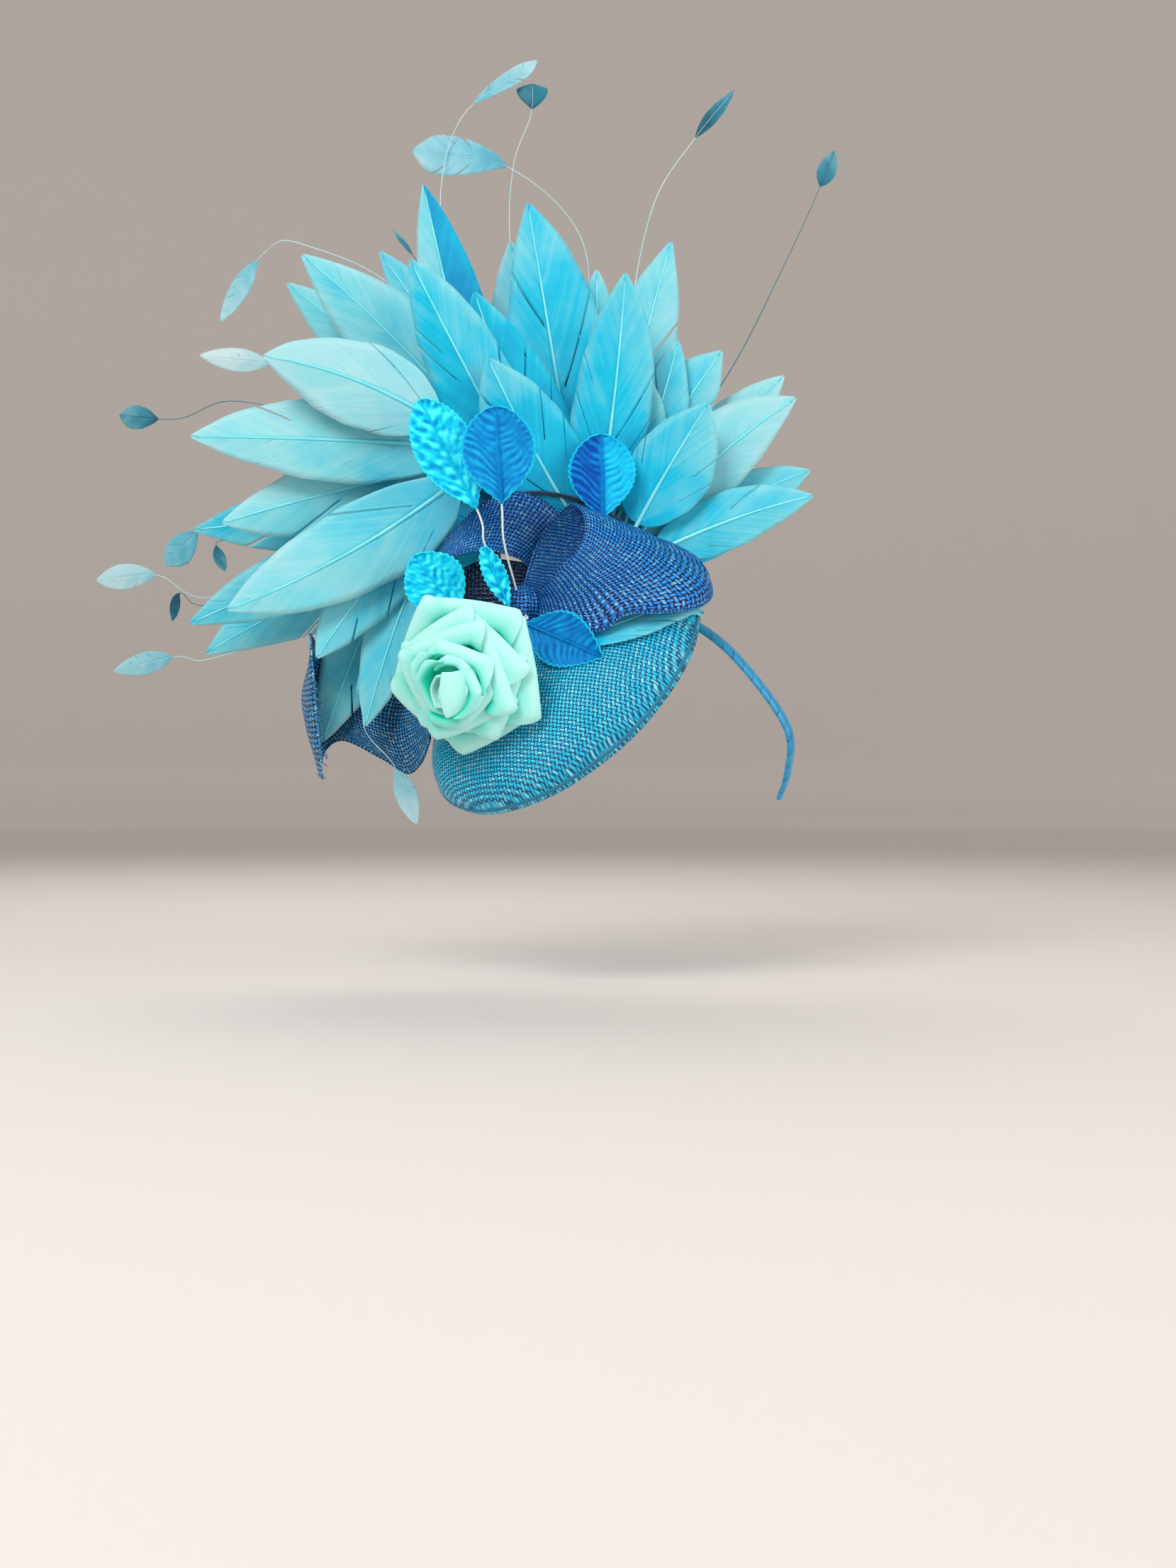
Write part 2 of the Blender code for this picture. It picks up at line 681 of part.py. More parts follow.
def join_bodies(bodies, holding):
    """Joins overlapping bodies into the first one, with Boolean unions."""
    first = bodies[0]
    for body in bodies[1:]:
        cut(first, keep_as_cutter(body, None, holding), "UNION")
    return first


def make_spray(row, trim, collection, holding):
    """Makes a spray of stripped quills that meet in one bound knot."""
    seat, outward = arch_line(row["seat"])
    middle = seat + outward * 2.0
    bpy.ops.mesh.primitive_ico_sphere_add(subdivisions=2,
                                          radius=BINDING_RADIUS * MM)
    knot = bpy.context.object
    knot.name = row["name"]
    knot.location = Vector((middle.x, BINDING_DEPTH, middle.y)) * MM
    finish(knot, QUILLS, collection, trim)
    bodies = [knot]
    for number, wisp in enumerate(rows(row["wisps"])):
        name = f"{row['name']}_quill_{number}"
        body = make_wisp(name, wisp, middle, BINDING_DEPTH)
        body.parent = trim
        bodies.append(body)
    return join_bodies(bodies, holding)


def knot_centre():
    """Returns the middle of the knot that the loops and wires start from."""
    return dome_point(KNOT_ALONG, KNOT_ACROSS, KNOT_RADIUS + GAP)


def make_knot(trim, collection):
    """Makes the round knot on the dome that gathers the ribbon loops."""
    bpy.ops.mesh.primitive_uv_sphere_add(segments=16, ring_count=10,
                                         radius=KNOT_RADIUS * MM)
    knot = bpy.context.object
    knot.name = "ribbon_knot"
    knot.location = knot_centre() * MM
    return finish(knot, RIBBON, collection, trim)


def make_front_loop(trim, collection):
    """Makes the fan-shaped loop of wide ribbon in front, open at its left."""
    centre = knot_centre()
    alongs = column(LOOP_FRONT_HEMS, "along")
    lows = column(LOOP_FRONT_HEMS, "low_angle")
    highs = column(LOOP_FRONT_HEMS, "high_angle")
    acrosses = column(LOOP_FRONT_REACH, "across")
    reaches = column(LOOP_FRONT_REACH, "reach")
    bulges = column(LOOP_FRONT_REACH, "near_bulge")
    start = KNOT_RADIUS + GAP + 0.9

    def place(along, across):
        low = step_read(alongs, lows, along)
        high = step_read(alongs, highs, along)
        angle = math.radians(low + (high - low) * across)
        reach = step_read(acrosses, reaches, across)
        bulge = step_read(acrosses, bulges, across)
        turn = 2.0 * math.pi * along
        out = start + (reach - start) * (1.0 - math.cos(turn)) / 2.0
        swell = math.sin(turn) * math.sin(turn / 2.0) ** 0.5
        if swell < 0.0:
            bulge = LOOP_FRONT_FAR_BULGE
        forward = bulge * swell + 3.0 * math.sin(turn / 2.0)
        return centre + Vector((out * math.cos(angle), -forward,
                                out * math.sin(angle)))

    loop = make_sheet("loop_front", LOOP_FRONT_STEPS, LOOP_FRONT_COLUMNS, place,
                      RIBBON_THICKNESS)
    return finish(loop, RIBBON, collection, trim)


def make_ribbon(name, table, belly, steps, columns, trim, collection):
    """Makes a ribbon between the two hems that a table gives."""
    one = [Vector(row[:3]) for row in table[1:]]
    two = [Vector(row[3:]) for row in table[1:]]

    def place(along, across):
        point = on_line(one, along).lerp(on_line(two, along), across)
        swell = math.sin(math.pi * across) * math.sin(math.pi * along)
        return point + Vector((-belly * swell, 0.0, 0.0))

    ribbon = make_sheet(name, steps, columns, place, RIBBON_THICKNESS)
    return finish(ribbon, RIBBON, collection, trim)


def rose_frame():
    """Returns the rose's foot and the matrix of its own directions."""
    right = Vector((1.0, 0.0, 0.0))
    right = (right - ROSE_AXIS * right.dot(ROSE_AXIS)).normalized()
    up = ROSE_AXIS.cross(right)
    foot = ROSE_CENTRE - ROSE_AXIS * ROSE_DEPTH
    return foot, Matrix((right, up, ROSE_AXIS)).transposed()


def make_heart(trim, collection, cutter):
    """Makes the rose's rolled heart, with its short stem, as a turned solid."""
    mesh = bpy.data.meshes.new("rose_heart")
    bm = bmesh.new()
    points = [bm.verts.new((radius * MM, 0.0, height * MM))
              for radius, height in HEART_PROFILE[1:]]
    for start, end in zip(points, points[1:]):
        bm.edges.new((start, end))
    bm.to_mesh(mesh)
    bm.free()
    heart = bpy.data.objects.new("rose_heart", mesh)
    turned = heart.modifiers.new("turned", "SCREW")
    turned.steps = HEART_STEPS
    turned.render_steps = HEART_STEPS
    turned.use_merge_vertices = True
    turned.merge_threshold = 0.00005
    foot, turn = rose_frame()
    heart.location = foot * MM
    heart.rotation_euler = turn.to_euler()
    cut(heart, cutter)
    return finish(heart, FOAM, collection, trim)


def ring_reach(ring, angle):
    """Returns a ring's rim radius at an angle: straight rims between corners."""
    best = 0.0
    for row in ring:
        offset = abs((angle - row["angle"] + 180.0) % 360.0 - 180.0)
        if offset <= PETAL_CORNER:
            return row["reach"] / math.cos(math.radians(offset))
        corner = row["reach"] / math.cos(math.radians(PETAL_CORNER))
        best = max(best, corner - 0.1 * (offset - PETAL_CORNER))
    return best


def make_petal(row, trim, collection):
    """Makes one foam petal of the rose, lapped over its neighbour like a tile."""
    foot, turn = rose_frame()
    ring = [other for other in rows(PETALS) if other["ring"] == row["ring"]]

    def curve(along, angle):
        reach = ring_reach(ring, angle) - row["foot_radius"]
        rise = row["rim_height"] - row["foot_height"]
        return Vector((row["foot_radius"] + reach * along ** 1.6,
                       row["foot_height"] + rise * math.sin(0.5 * math.pi * along)))

    def place(along, across):
        offset = (across - 0.5) * row["span"]
        past = max(abs(offset) - PETAL_CORNER, 0.0) / (row["span"] / 2.0)
        angle = row["angle"] + offset
        used = along * (1.0 - 0.22 * past)
        here = curve(used, angle)
        way = curve(used + 0.02, angle) - curve(max(used - 0.02, 0.0), angle)
        outward = Vector((way.y, -way.x)).normalized()
        here = here + outward * row["lap"] * (1.0 - across)
        turned = math.radians(angle)
        local = Vector((here.x * math.cos(turned), here.x * math.sin(turned), here.y))
        return foot + turn @ local

    petal = make_sheet(row["name"], 5, 6, place, PETAL_THICKNESS)
    return finish(petal, FOAM, collection, trim)


def make_leaf(row, trim, collection):
    """Makes a velvet leaf with the wire it stands on, as one solid."""
    line = [Vector(row["tip"]), Vector(row["foot"])]
    line += [Vector(point) for point in row["wire"]]
    if row["ends_on"] == "knot":
        way = (line[-1] - knot_centre()).normalized()
        line[-1] = knot_centre() + way * (KNOT_RADIUS + GAP + 0.3)
    blade_length = (line[1] - line[0]).length
    whole = sum((end - start).length for start, end in zip(line, line[1:]))
    blade = blade_length / whole
    facing = Vector((0.0, -1.0, 0.0))

    def place(along, across):
        point = on_line(line, along)
        way = on_line(line, along + 0.01) - on_line(line, along - 0.01)
        side = way.cross(facing).normalized()
        width = LEAF_WIRE_HALF
        if along < blade:
            shape = math.sin(math.pi * (along / blade) ** 0.9) ** 0.6
            width = max(row["width"] / 2.0 * shape, LEAF_WIRE_HALF)
        cupped = 0.1 * width * (1.0 - (2.0 * across - 1.0) ** 2)
        return point + side * width * (2.0 * across - 1.0) - facing * cupped

    leaf = make_sheet(row["name"], 14, 2, place, LEAF_THICKNESS)
    return finish(leaf, row["colour"], collection, trim)


def make_low_wisp(trim, collection):
    """Makes the single stripped quill that hangs below the low loop."""
    seat, outward = arch_line(LOW_WISP_SEAT)
    start = seat + outward * (ARCH_THICKNESS / 2.0 + QUILL_STAND_OFF)
    line = (start,) + LOW_WISP_ROUTE[1:]

    def place(step, across):
        along = wisp_station(step, LOW_WISP_VANE_START)
        point = on_line(line, along)
        nearby = on_line(line, along + 0.01) - on_line(line, along - 0.01)
        side = Vector((-nearby.y, nearby.x)).normalized()
        vane = (along - LOW_WISP_VANE_START) / (1.0 - LOW_WISP_VANE_START)
        width = wisp_width(vane, LOW_WISP_HALF_WIDTH)
        point = point + side * width * (2.0 * across - 1.0)
        return Vector((point.x, fan_depth(point.x, point.y, LOW_WISP_LAYER), point.y))

    wisp = make_sheet("wisp_low", WISP_STEPS, 1, place, WISP_THICKNESS)
    return finish(wisp, QUILLS, collection, trim)


def main():
    """Builds the fascinator, piece by piece."""
    for obj in list(bpy.data.objects):
        bpy.data.objects.remove(obj, do_unlink=True)
    collection = bpy.data.collections.new("fascinator")
    holding = bpy.data.collections.new("fascinator_operands")
    bpy.context.scene.collection.children.link(collection)
    bpy.context.scene.collection.children.link(holding)

    trim = bpy.data.objects.new("trim", None)
    trim.rotation_euler = (0.0, 0.0, math.radians(TRIM_TURN))
    collection.objects.link(trim)

    make_band(collection)
    make_dome(trim, collection)
    make_pad(trim, collection, holding)
    round_dome = make_dome_cutter("round_dome", GAP, trim, holding)
    make_arch(trim, collection, round_dome)
    for row in rows(FEATHERS):
        make_feather(row, trim, collection)
    make_under_feather(trim, collection)
    for row in rows(SPRAYS):
        make_spray(row, trim, collection, holding)
    make_low_wisp(trim, collection)
    make_knot(trim, collection)
    make_front_loop(trim, collection)
    make_ribbon("loop_back", LOOP_BACK, 0.0, 14, 3, trim, collection)
    make_ribbon("loop_low", LOOP_LOW, LOOP_LOW_BELLY, 16, 6, trim, collection)
    make_ribbon("ribbon_tuck", TUCK, 0.0, 6, 2, trim, collection)
    make_heart(trim, collection, round_dome)
    for row in rows(PETALS):
        make_petal(row, trim, collection)
    for row in rows(LEAVES):
        make_leaf(row, trim, collection)


main()
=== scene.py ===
"""Looks of a saucer fascinator on a headband.

The woven dome, the ribbon loops, the foam rose, the velvet leaves, the trimmed
goose feathers and the stripped quills are modelled at their real sizes around
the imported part, and each one is given the finish of the real material.

The trim is laid out in its own frame, in millimetres: "across" to the right,
"deep" to the back and "up", seen from the side that the trim looks to.
"""

import logging
import math
import random
from dataclasses import dataclass, field
from enum import Enum
from typing import Callable, Iterable
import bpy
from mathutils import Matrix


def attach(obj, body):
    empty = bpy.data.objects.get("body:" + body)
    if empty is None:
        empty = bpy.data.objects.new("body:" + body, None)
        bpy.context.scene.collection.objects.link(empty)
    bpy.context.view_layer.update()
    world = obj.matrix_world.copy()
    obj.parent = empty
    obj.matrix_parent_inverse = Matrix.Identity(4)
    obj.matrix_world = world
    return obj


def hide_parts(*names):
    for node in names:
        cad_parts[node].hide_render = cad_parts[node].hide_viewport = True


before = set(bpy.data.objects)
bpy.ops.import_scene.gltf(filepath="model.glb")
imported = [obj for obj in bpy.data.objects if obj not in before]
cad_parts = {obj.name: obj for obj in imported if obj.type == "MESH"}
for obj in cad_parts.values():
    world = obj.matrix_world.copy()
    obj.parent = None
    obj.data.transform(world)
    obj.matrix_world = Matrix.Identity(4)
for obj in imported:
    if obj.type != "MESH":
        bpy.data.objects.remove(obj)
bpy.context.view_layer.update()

import bpy
import numpy as np
from bpy.types import Material, Node, NodeSocket, NodeTree, Object
from mathutils import Matrix, Vector

MM = 0.001
# the trim looks this far to the wearer's left of the front
TRIM_TURN = math.radians(26.0)
TURN = np.array(((math.cos(TRIM_TURN), -math.sin(TRIM_TURN), 0.0),
                 (math.sin(TRIM_TURN), math.cos(TRIM_TURN), 0.0),
                 (0.0, 0.0, 1.0)))

log = logging.getLogger("fascinator")

Surface = Callable[[np.ndarray, np.ndarray, np.ndarray], np.ndarray]


# Geometry

def to_world(points: np.ndarray) -> np.ndarray:
    """Turns points of the trim's frame in mm into the main frame in metres.

    Args:
        points: an array whose last axis holds across, deep and up.

    Returns:
        The same points in metres, turned about +Z.
    """
    return points @ TURN.T * MM


def smooth(x: np.ndarray) -> np.ndarray:
    """Returns a soft step from 0 to 1 over 0..1."""
    x = np.clip(x, 0.0, 1.0)
    return x * x * (3.0 - 2.0 * x)


def grid(*parts: np.ndarray) -> np.ndarray:
    """Returns parts, spread to one shape, side by side along a new last axis."""
    return np.stack(np.broadcast_arrays(*parts), axis=-1)


def unit(vectors: np.ndarray) -> np.ndarray:
    """Returns vectors of length one along the last axis."""
    length = np.linalg.norm(vectors, axis=-1, keepdims=True)
    return vectors / np.maximum(length, 1e-9)


class Line:
    """A smooth line through points, read by its share of length."""

    def __init__(self, points: Iterable, steps: int = 24) -> None:
        """Builds a Catmull-Rom line through the points.

        Args:
            points: two or more points of two or three numbers.
            steps: samples between neighbouring points.
        """
        given = np.array([tuple(point) for point in points], float)
        ends = np.vstack((2 * given[0] - given[1], given, 2 * given[-1] - given[-2]))
        t = np.linspace(0.0, 1.0, steps, endpoint=False)[:, None]
        parts = []
        for a, b, c, d in zip(ends, ends[1:], ends[2:], ends[3:]):
            parts.append(0.5 * ((2 * b) + (c - a) * t + (2 * a - 5 * b + 4 * c - d) * t ** 2
                                + (3 * b - a - 3 * c + d) * t ** 3))
        parts.append(given[-1:])
        self.points = np.vstack(parts)
        lengths = np.linalg.norm(np.diff(self.points, axis=0), axis=1)
        self.reached = np.concatenate(([0.0], np.cumsum(lengths)))
        self.length = float(self.reached[-1])

    def at(self, share: np.ndarray) -> np.ndarray:
        """Finds points on the line.

        Args:
            share: shares of the length.

        Returns:
            The points, with their numbers along the last axis.
        """
        where = np.clip(share, 0.0, 1.0) * self.length
        return np.stack([np.interp(where, self.reached, self.points[:, axis])
                         for axis in range(self.points.shape[1])], axis=-1)

    def way(self, share: np.ndarray) -> np.ndarray:
        """Finds the line's directions.

        Args:
            share: shares of the length.

        Returns:
            Directions of length one.
        """
        near = self.at(np.clip(np.asarray(share) - 0.004, 0.0, 1.0))
        far = self.at(np.clip(np.asarray(share) + 0.004, 0.0, 1.0))
        return unit(far - near)


@dataclass
class Patch:
    """A grid of points that becomes walls, or the skin of a tube, in a mesh."""

    points: np.ndarray
    uv: np.ndarray
    place: np.ndarray
    tone: np.ndarray | float = 0.0
    thickness: np.ndarray | float = 0.0
    material: int = 0
    keep: np.ndarray | None = None
    caps: bool = False


def grid_normals(points: np.ndarray) -> np.ndarray:
    """Finds the normals of a grid.

    Args:
        points: rows and columns of points.

    Returns:
        The normals, of length one.
    """
    down = np.gradient(points, axis=0)
    side = np.gradient(points, axis=1)
    return unit(np.cross(down, side))


def patch_faces(patch: Patch) -> tuple[np.ndarray, list[np.ndarray], np.ndarray]:
    """Turns a patch into vertices and faces.

    Args:
        patch: the grid; with a thickness it becomes a closed wall.

    Returns:
        The vertices, the arrays of four-cornered faces, and for each vertex
        the flat index of its grid point.
    """
    rows, columns = patch.points.shape[:2]
    index = np.arange(rows * columns).reshape(rows, columns)
    quads = np.stack((index[:-1, :-1], index[1:, :-1], index[1:, 1:], index[:-1, 1:]), axis=-1)
    keep = np.ones((rows - 1, columns - 1), bool) if patch.keep is None else patch.keep
    front = quads[keep]
    flat = patch.points.reshape(-1, 3)
    source = np.arange(rows * columns)
    if np.all(np.asarray(patch.thickness) <= 0.0):
        faces = [front]
        if patch.caps:
            faces += cap_faces(index)
        return flat, faces, source
    half = np.broadcast_to(np.asarray(patch.thickness, float) / 2.0, (rows, columns))
    shift = grid_normals(patch.points) * half[..., None]
    vertices = np.vstack((flat + shift.reshape(-1, 3), flat - shift.reshape(-1, 3)))
    back = front[:, ::-1] + rows * columns
    edges = np.concatenate([front[:, [a, (a + 1) % 4]] for a in range(4)])
    forward = {(int(a), int(b)) for a, b in edges}
    border = np.array([(a, b) for a, b in forward if (b, a) not in forward])
    border = border[np.lexsort((border[:, 1], border[:, 0]))]
    rim = np.stack((border[:, 1], border[:, 0], border[:, 0] + rows * columns,
                    border[:, 1] + rows * columns), axis=-1)
    return vertices, [front, back, rim], np.concatenate((source, source))


def cap_faces(index: np.ndarray) -> list[np.ndarray]:
    """Closes both ends of a tube whose seam meets.

    Args:
        index: the numbers of the tube's grid points.

    Returns:
        The faces of the two ends.
    """
    found = []
    for ring, turned in ((index[0], True), (index[-1], False)):
        ring = ring[:-1]
        ring = ring[::-1] if turned else ring
        count = len(ring)
        strips = [(ring[i], ring[i + 1], ring[count - 2 - i], ring[count - 1 - i])
                  for i in range((count - 2) // 2)]
        found.append(np.array(strips))
    return found


def build_piece(name: str, patches: list[Patch], materials: list[Material],
                world: bool = False) -> Object:
    """Makes one object from patches, with its place in its mesh.

    Args:
        name: the piece's name.
        patches: the grids that it is made of.
        materials: its materials, by the patches' material numbers.
        world: True where the points are already of the main frame, in mm.

    Returns:
        The new object, smooth shaded, with the maps "thread" and "place" and
        the attribute "tone".
    """
    vertices, quads, uvs, places, tones, slots, seams = [], [], [], [], [], [], []
    offset = 0
    for patch in patches:
        points, faces, source = patch_faces(patch)
        vertices.append(points)
        columns = patch.points.shape[1]
        joined = np.arange(len(points))
        if patch.caps:
            joined[columns - 1::columns] -= columns - 1
        seams.append(joined + offset)
        uvs.append(patch.uv.reshape(-1, 2)[source])
        places.append(patch.place.reshape(-1, 2)[source])
        tone = np.broadcast_to(np.asarray(patch.tone, float), patch.points.shape[:2])
        tones.append(tone.reshape(-1)[source])
        for group in faces:
            quads.append(group + offset)
            slots.append(np.full(len(group), patch.material))
        offset += len(points)
    points = np.vstack(vertices)
    points = points * MM if world else to_world(points)
    corners = np.vstack(quads).ravel()
    used, faces = np.unique(np.concatenate(seams)[corners], return_inverse=True)
    faces = faces.reshape(-1, 4)
    points = points[used]
    mesh = bpy.data.meshes.new(name)
    mesh.vertices.add(len(points))
    mesh.vertices.foreach_set("co", points.astype(np.float32).ravel())
    mesh.loops.add(faces.size)
    mesh.loops.foreach_set("vertex_index", faces.astype(np.int32).ravel())
    mesh.polygons.add(len(faces))
    mesh.polygons.foreach_set("loop_start", np.arange(0, faces.size, 4, dtype=np.int32))
    mesh.polygons.foreach_set("material_index", np.concatenate(slots).astype(np.int32))
    mesh.update(calc_edges=True)
    for layer_name, values in (("thread", uvs), ("place", places)):
        layer = mesh.uv_layers.new(name=layer_name)
        layer.data.foreach_set("uv", np.vstack(values)[corners].astype(np.float32).ravel())
    attribute = mesh.attributes.new("tone", "FLOAT", "POINT")
    attribute.data.foreach_set("value", np.concatenate(tones)[used].astype(np.float32))
    mesh.validate()
    mesh.shade_smooth()
    for material in materials:
        mesh.materials.append(material)
    piece = bpy.data.objects.new(name, mesh)
    bpy.context.scene.collection.objects.link(piece)
    return piece


def tube(path: np.ndarray, radius: np.ndarray | float, sides: int = 8, material: int = 0,
         facing: tuple[float, float, float] = (0.0, -1.0, 0.0), flat: float = 1.0,
         tone: float = 0.0) -> Patch:
    """Sweeps a round section along a path.

    Args:
        path: points in mm.
        radius: one radius, or one for each point, in mm.
        sides: the section's corners; an even number.
        material: the material's number.
        facing: the direction that the section's flat side faces.
        flat: the section's depth against its width.
        tone: the tone attribute.

    Returns:
        A closed tube as a patch.
    """
    way = unit(np.gradient(path, axis=0))
    side = unit(np.cross(way, np.array(facing)))
    out = unit(np.cross(side, way))
    radius = np.broadcast_to(np.asarray(radius, float), len(path))
    angle = np.linspace(0.0, math.tau, sides + 1)
    ring = (side[:, None, :] * np.cos(angle)[None, :, None]
            + out[:, None, :] * np.sin(angle)[None, :, None] * flat)
    points = path[:, None, :] + ring * radius[:, None, None]
    run = np.concatenate(([0.0], np.cumsum(np.linalg.norm(np.diff(path, axis=0), axis=1))))
    around = angle * float(radius.max())
    uv = grid(run[:, None] * MM, around[None, :] * MM)
    share = grid((run / max(run[-1], 1e-9))[:, None], angle[None, :] / (math.tau))
    return Patch(points, uv, share, tone=tone, material=material, caps=True)


def soft_edges(rows: int, columns: int, thickness: float, edge: float = 0.55) -> np.ndarray:
    """Thins a wall at its border.

    Args:
        rows: the grid's rows.
        columns: its columns.
        thickness: the wall's, in mm.
        edge: the border's share of it.

    Returns:
        The thickness at each point.
    """
    full = np.ones((rows, columns))
    full[0, :] = full[-1, :] = edge
    full[:, 0] = full[:, -1] = edge
    return full * thickness


def eased(count: int, ends: float = 0.02) -> np.ndarray:
    """Returns shares 0..1 with one narrow step at each end."""
    return np.concatenate(([0.0], np.linspace(ends, 1.0 - ends, count - 2), [1.0]))


# Finishes

def linear(code: str) -> tuple[float, float, float, float]:
    """Turns an sRGB hex value into linear colour.

    Args:
        code: six hex digits after a hash.

    Returns:
        Red, green, blue and alpha for a node.
    """
    values = [int(code[i:i + 2], 16) / 255.0 for i in (1, 3, 5)]
    values = [v / 12.92 if v <= 0.04045 else ((v + 0.055) / 1.055) ** 2.4 for v in values]
    return (*values, 1.0)


def fill(tree: NodeTree, node: Node, inputs: dict) -> None:
    """Gives inputs of a node their values and links.

    Args:
        tree: the material's node tree.
        node: the node.
        inputs: values or output sockets, by input name or number.
    """
    for key, value in inputs.items():
        socket = node.inputs[key]
        if isinstance(value, NodeSocket):
            tree.links.new(value, socket)
        else:
            socket.default_value = value


def add_node(tree: NodeTree, kind: str, inputs: dict | tuple = (), out: int | str = 0,
             stops: tuple = (), **settings: object) -> NodeSocket:
    """Adds a node with its settings and links.

    Args:
        tree: the material's node tree.
        kind: the node's type, without "ShaderNode".
        inputs: values or output sockets, in order, or by input name or number.
        out: the output that is wanted.
        stops: a colour ramp's positions with their hex values, in order.
        settings: properties of the node.

    Returns:
        The wanted output of the new node.
    """
    node = tree.nodes.new("ShaderNode" + kind)
    for name, value in settings.items():
        setattr(node, name, value)
    fill(tree, node, inputs if isinstance(inputs, dict) else dict(enumerate(inputs)))
    if stops:
        elements = node.color_ramp.elements
        for element, (position, colour) in zip(elements, (stops[0], stops[-1])):
            element.position = position
            element.color = linear(colour)
        for position, colour in stops[1:-1]:
            elements.new(position).color = linear(colour)
    return node.outputs[out]


def shifted(tree: NodeTree, value: object, noise: object, amount: float) -> object:
    """Adds a noise about its middle to a value.

    Args:
        tree: the material's node tree.
        value: the value that the noise moves.
        noise: the noise, from 0 to 1.
        amount: how far the noise moves it in all.

    Returns:
        The output socket of the sum.
    """
    centred = add_node(tree, "Math", (noise, 0.5), operation="SUBTRACT")
    return add_node(tree, "Math", (centred, amount, value), operation="MULTIPLY_ADD")


def start_material(name: str) -> tuple[Material, NodeTree, Node]:
    """Makes a material with nothing but its shader.

    Args:
        name: the material's name.

    Returns:
        The material, its tree and its shader.
    """
    material = bpy.data.materials.new(name)
    material.use_nodes = True
    tree = material.node_tree
    return material, tree, tree.nodes["Principled BSDF"]


@dataclass(frozen=True)
class VaneFinish:
    """Dyed goose feather: barbs that lie side by side, silky and a little shiny."""

    name: str = "dyed_goose_vane"
    palest: str = "#A2D8DE"
    pale: str = "#76D0DC"
    bright: str = "#00BCDE"
    deep: str = "#008EC2"
    fleck: str = "#1A7A98"
    barb_pitch: float = 1.1 * MM      # real barbs are 0.5 mm apart; drawn coarser to show
    strand_pitch: float = 6.25 * MM   # barbs cling together in strands of about this width
    fleck_size: float = MM / 0.7      # spots of dye on a few barbs
    clouds: float = 38.0              # in a metre; each is 26 mm wide
    patches: float = 55.0             # in a metre; each is 18 mm wide
    cloudy: float = 0.6               # how far the dye bath's clouds, strands and barbs
    streaky: float = 0.30             # move the colour along its ramp
    lined: float = 0.20
    fleck_share: float = 0.6
    roughness: float = 0.5

    def build(self) -> Material:
        """Builds the material; it reads the map "thread" and the tone.

        Returns:
            The material.
        """
        material, tree, shader = start_material(self.name)
        thread = add_node(tree, "UVMap", uv_map="thread")
        tone = add_node(tree, "Attribute", out="Fac", attribute_name="tone")
        spot = add_node(tree, "TexCoord", out="Object")
        cloud, patchy = (add_node(tree, "TexNoise", {"Vector": spot, "Scale": scale, "Detail": detail})
                         for scale, detail in ((self.clouds, 3.0), (self.patches, 1.0)))
        barbs, strands, flecks = (
            add_node(tree, "TexNoise", {
                "Vector": add_node(tree, "Mapping",
                                   {"Vector": thread, "Scale": (1.0 / pitch, along, 1.0)}),
                "Scale": 1.0, "Detail": detail})
            for pitch, along, detail in ((self.barb_pitch, 26.0, 2.0),
                                         (self.strand_pitch, 10.0, 2.0),
                                         (self.fleck_size, 120.0, 1.0)))
        mixed = shifted(tree, tone, cloud, self.cloudy)
        mixed = shifted(tree, mixed, strands, self.streaky)
        mixed = shifted(tree, mixed, barbs, self.lined)
        dyed = add_node(tree, "ValToRGB", (mixed,), stops=(
            (0.0, self.palest), (0.30, self.pale), (0.62, self.bright), (1.0, self.deep)))
        spotted = add_node(tree, "Math", (
            add_node(tree, "Math", (flecks, 0.71), operation="GREATER_THAN"),
            add_node(tree, "Math", (patchy, 0.56), operation="GREATER_THAN")),
            operation="MULTIPLY")
        spotted = add_node(tree, "Math", (spotted, self.fleck_share), operation="MULTIPLY")
        colour = add_node(tree, "Mix", {0: spotted, 6: dyed, 7: linear(self.fleck)}, 2,
                          data_type="RGBA")
        relief = add_node(tree, "Math", (strands, 1.5), operation="MULTIPLY")
        height = add_node(tree, "Math", (barbs, relief), operation="ADD")
        bump = add_node(tree, "Bump", {"Height": height, "Strength": 0.35, "Distance": 0.6 * MM})
        fill(tree, shader, {"Base Color": colour, "Roughness": self.roughness,
                            "Specular IOR Level": 0.25, "Normal": bump})
        return material


@dataclass(frozen=True)
class SmoothFinish:
    """A smooth or felted dyed surface: even, with faint clouds in its colour."""

    name: str
    light: str
    dark: str
    roughness: float
    scale: float = 120.0              # clouds in a metre; 120 are 8 mm wide each
    coat: float = 0.0
    sheen: float = 0.0
    bump: float = 0.0
    grain: float = 8.0                # how much finer the grain is than the clouds

    def build(self) -> Material:
        """Builds the material.

        Returns:
            The material.
        """
        material, tree, shader = start_material(self.name)
        spot = add_node(tree, "TexCoord", out="Object")
        cloud = add_node(tree, "TexNoise", {"Vector": spot, "Scale": self.scale, "Detail": 4.0})
        colour = add_node(tree, "Mix", {0: cloud, 6: linear(self.dark), 7: linear(self.light)}, 2,
                          data_type="RGBA")
        fill(tree, shader, {"Base Color": colour, "Roughness": self.roughness,
                            "Coat Weight": self.coat, "Sheen Weight": self.sheen})
        if self.bump > 0.0:
            grain = add_node(tree, "TexNoise", {"Vector": spot, "Scale": self.scale * self.grain,
                                                "Detail": 3.0})
            relief = add_node(tree, "Bump", {"Height": grain, "Strength": self.bump,
                                             "Distance": 0.5 * MM})
            fill(tree, shader, {"Normal": relief})
        return material


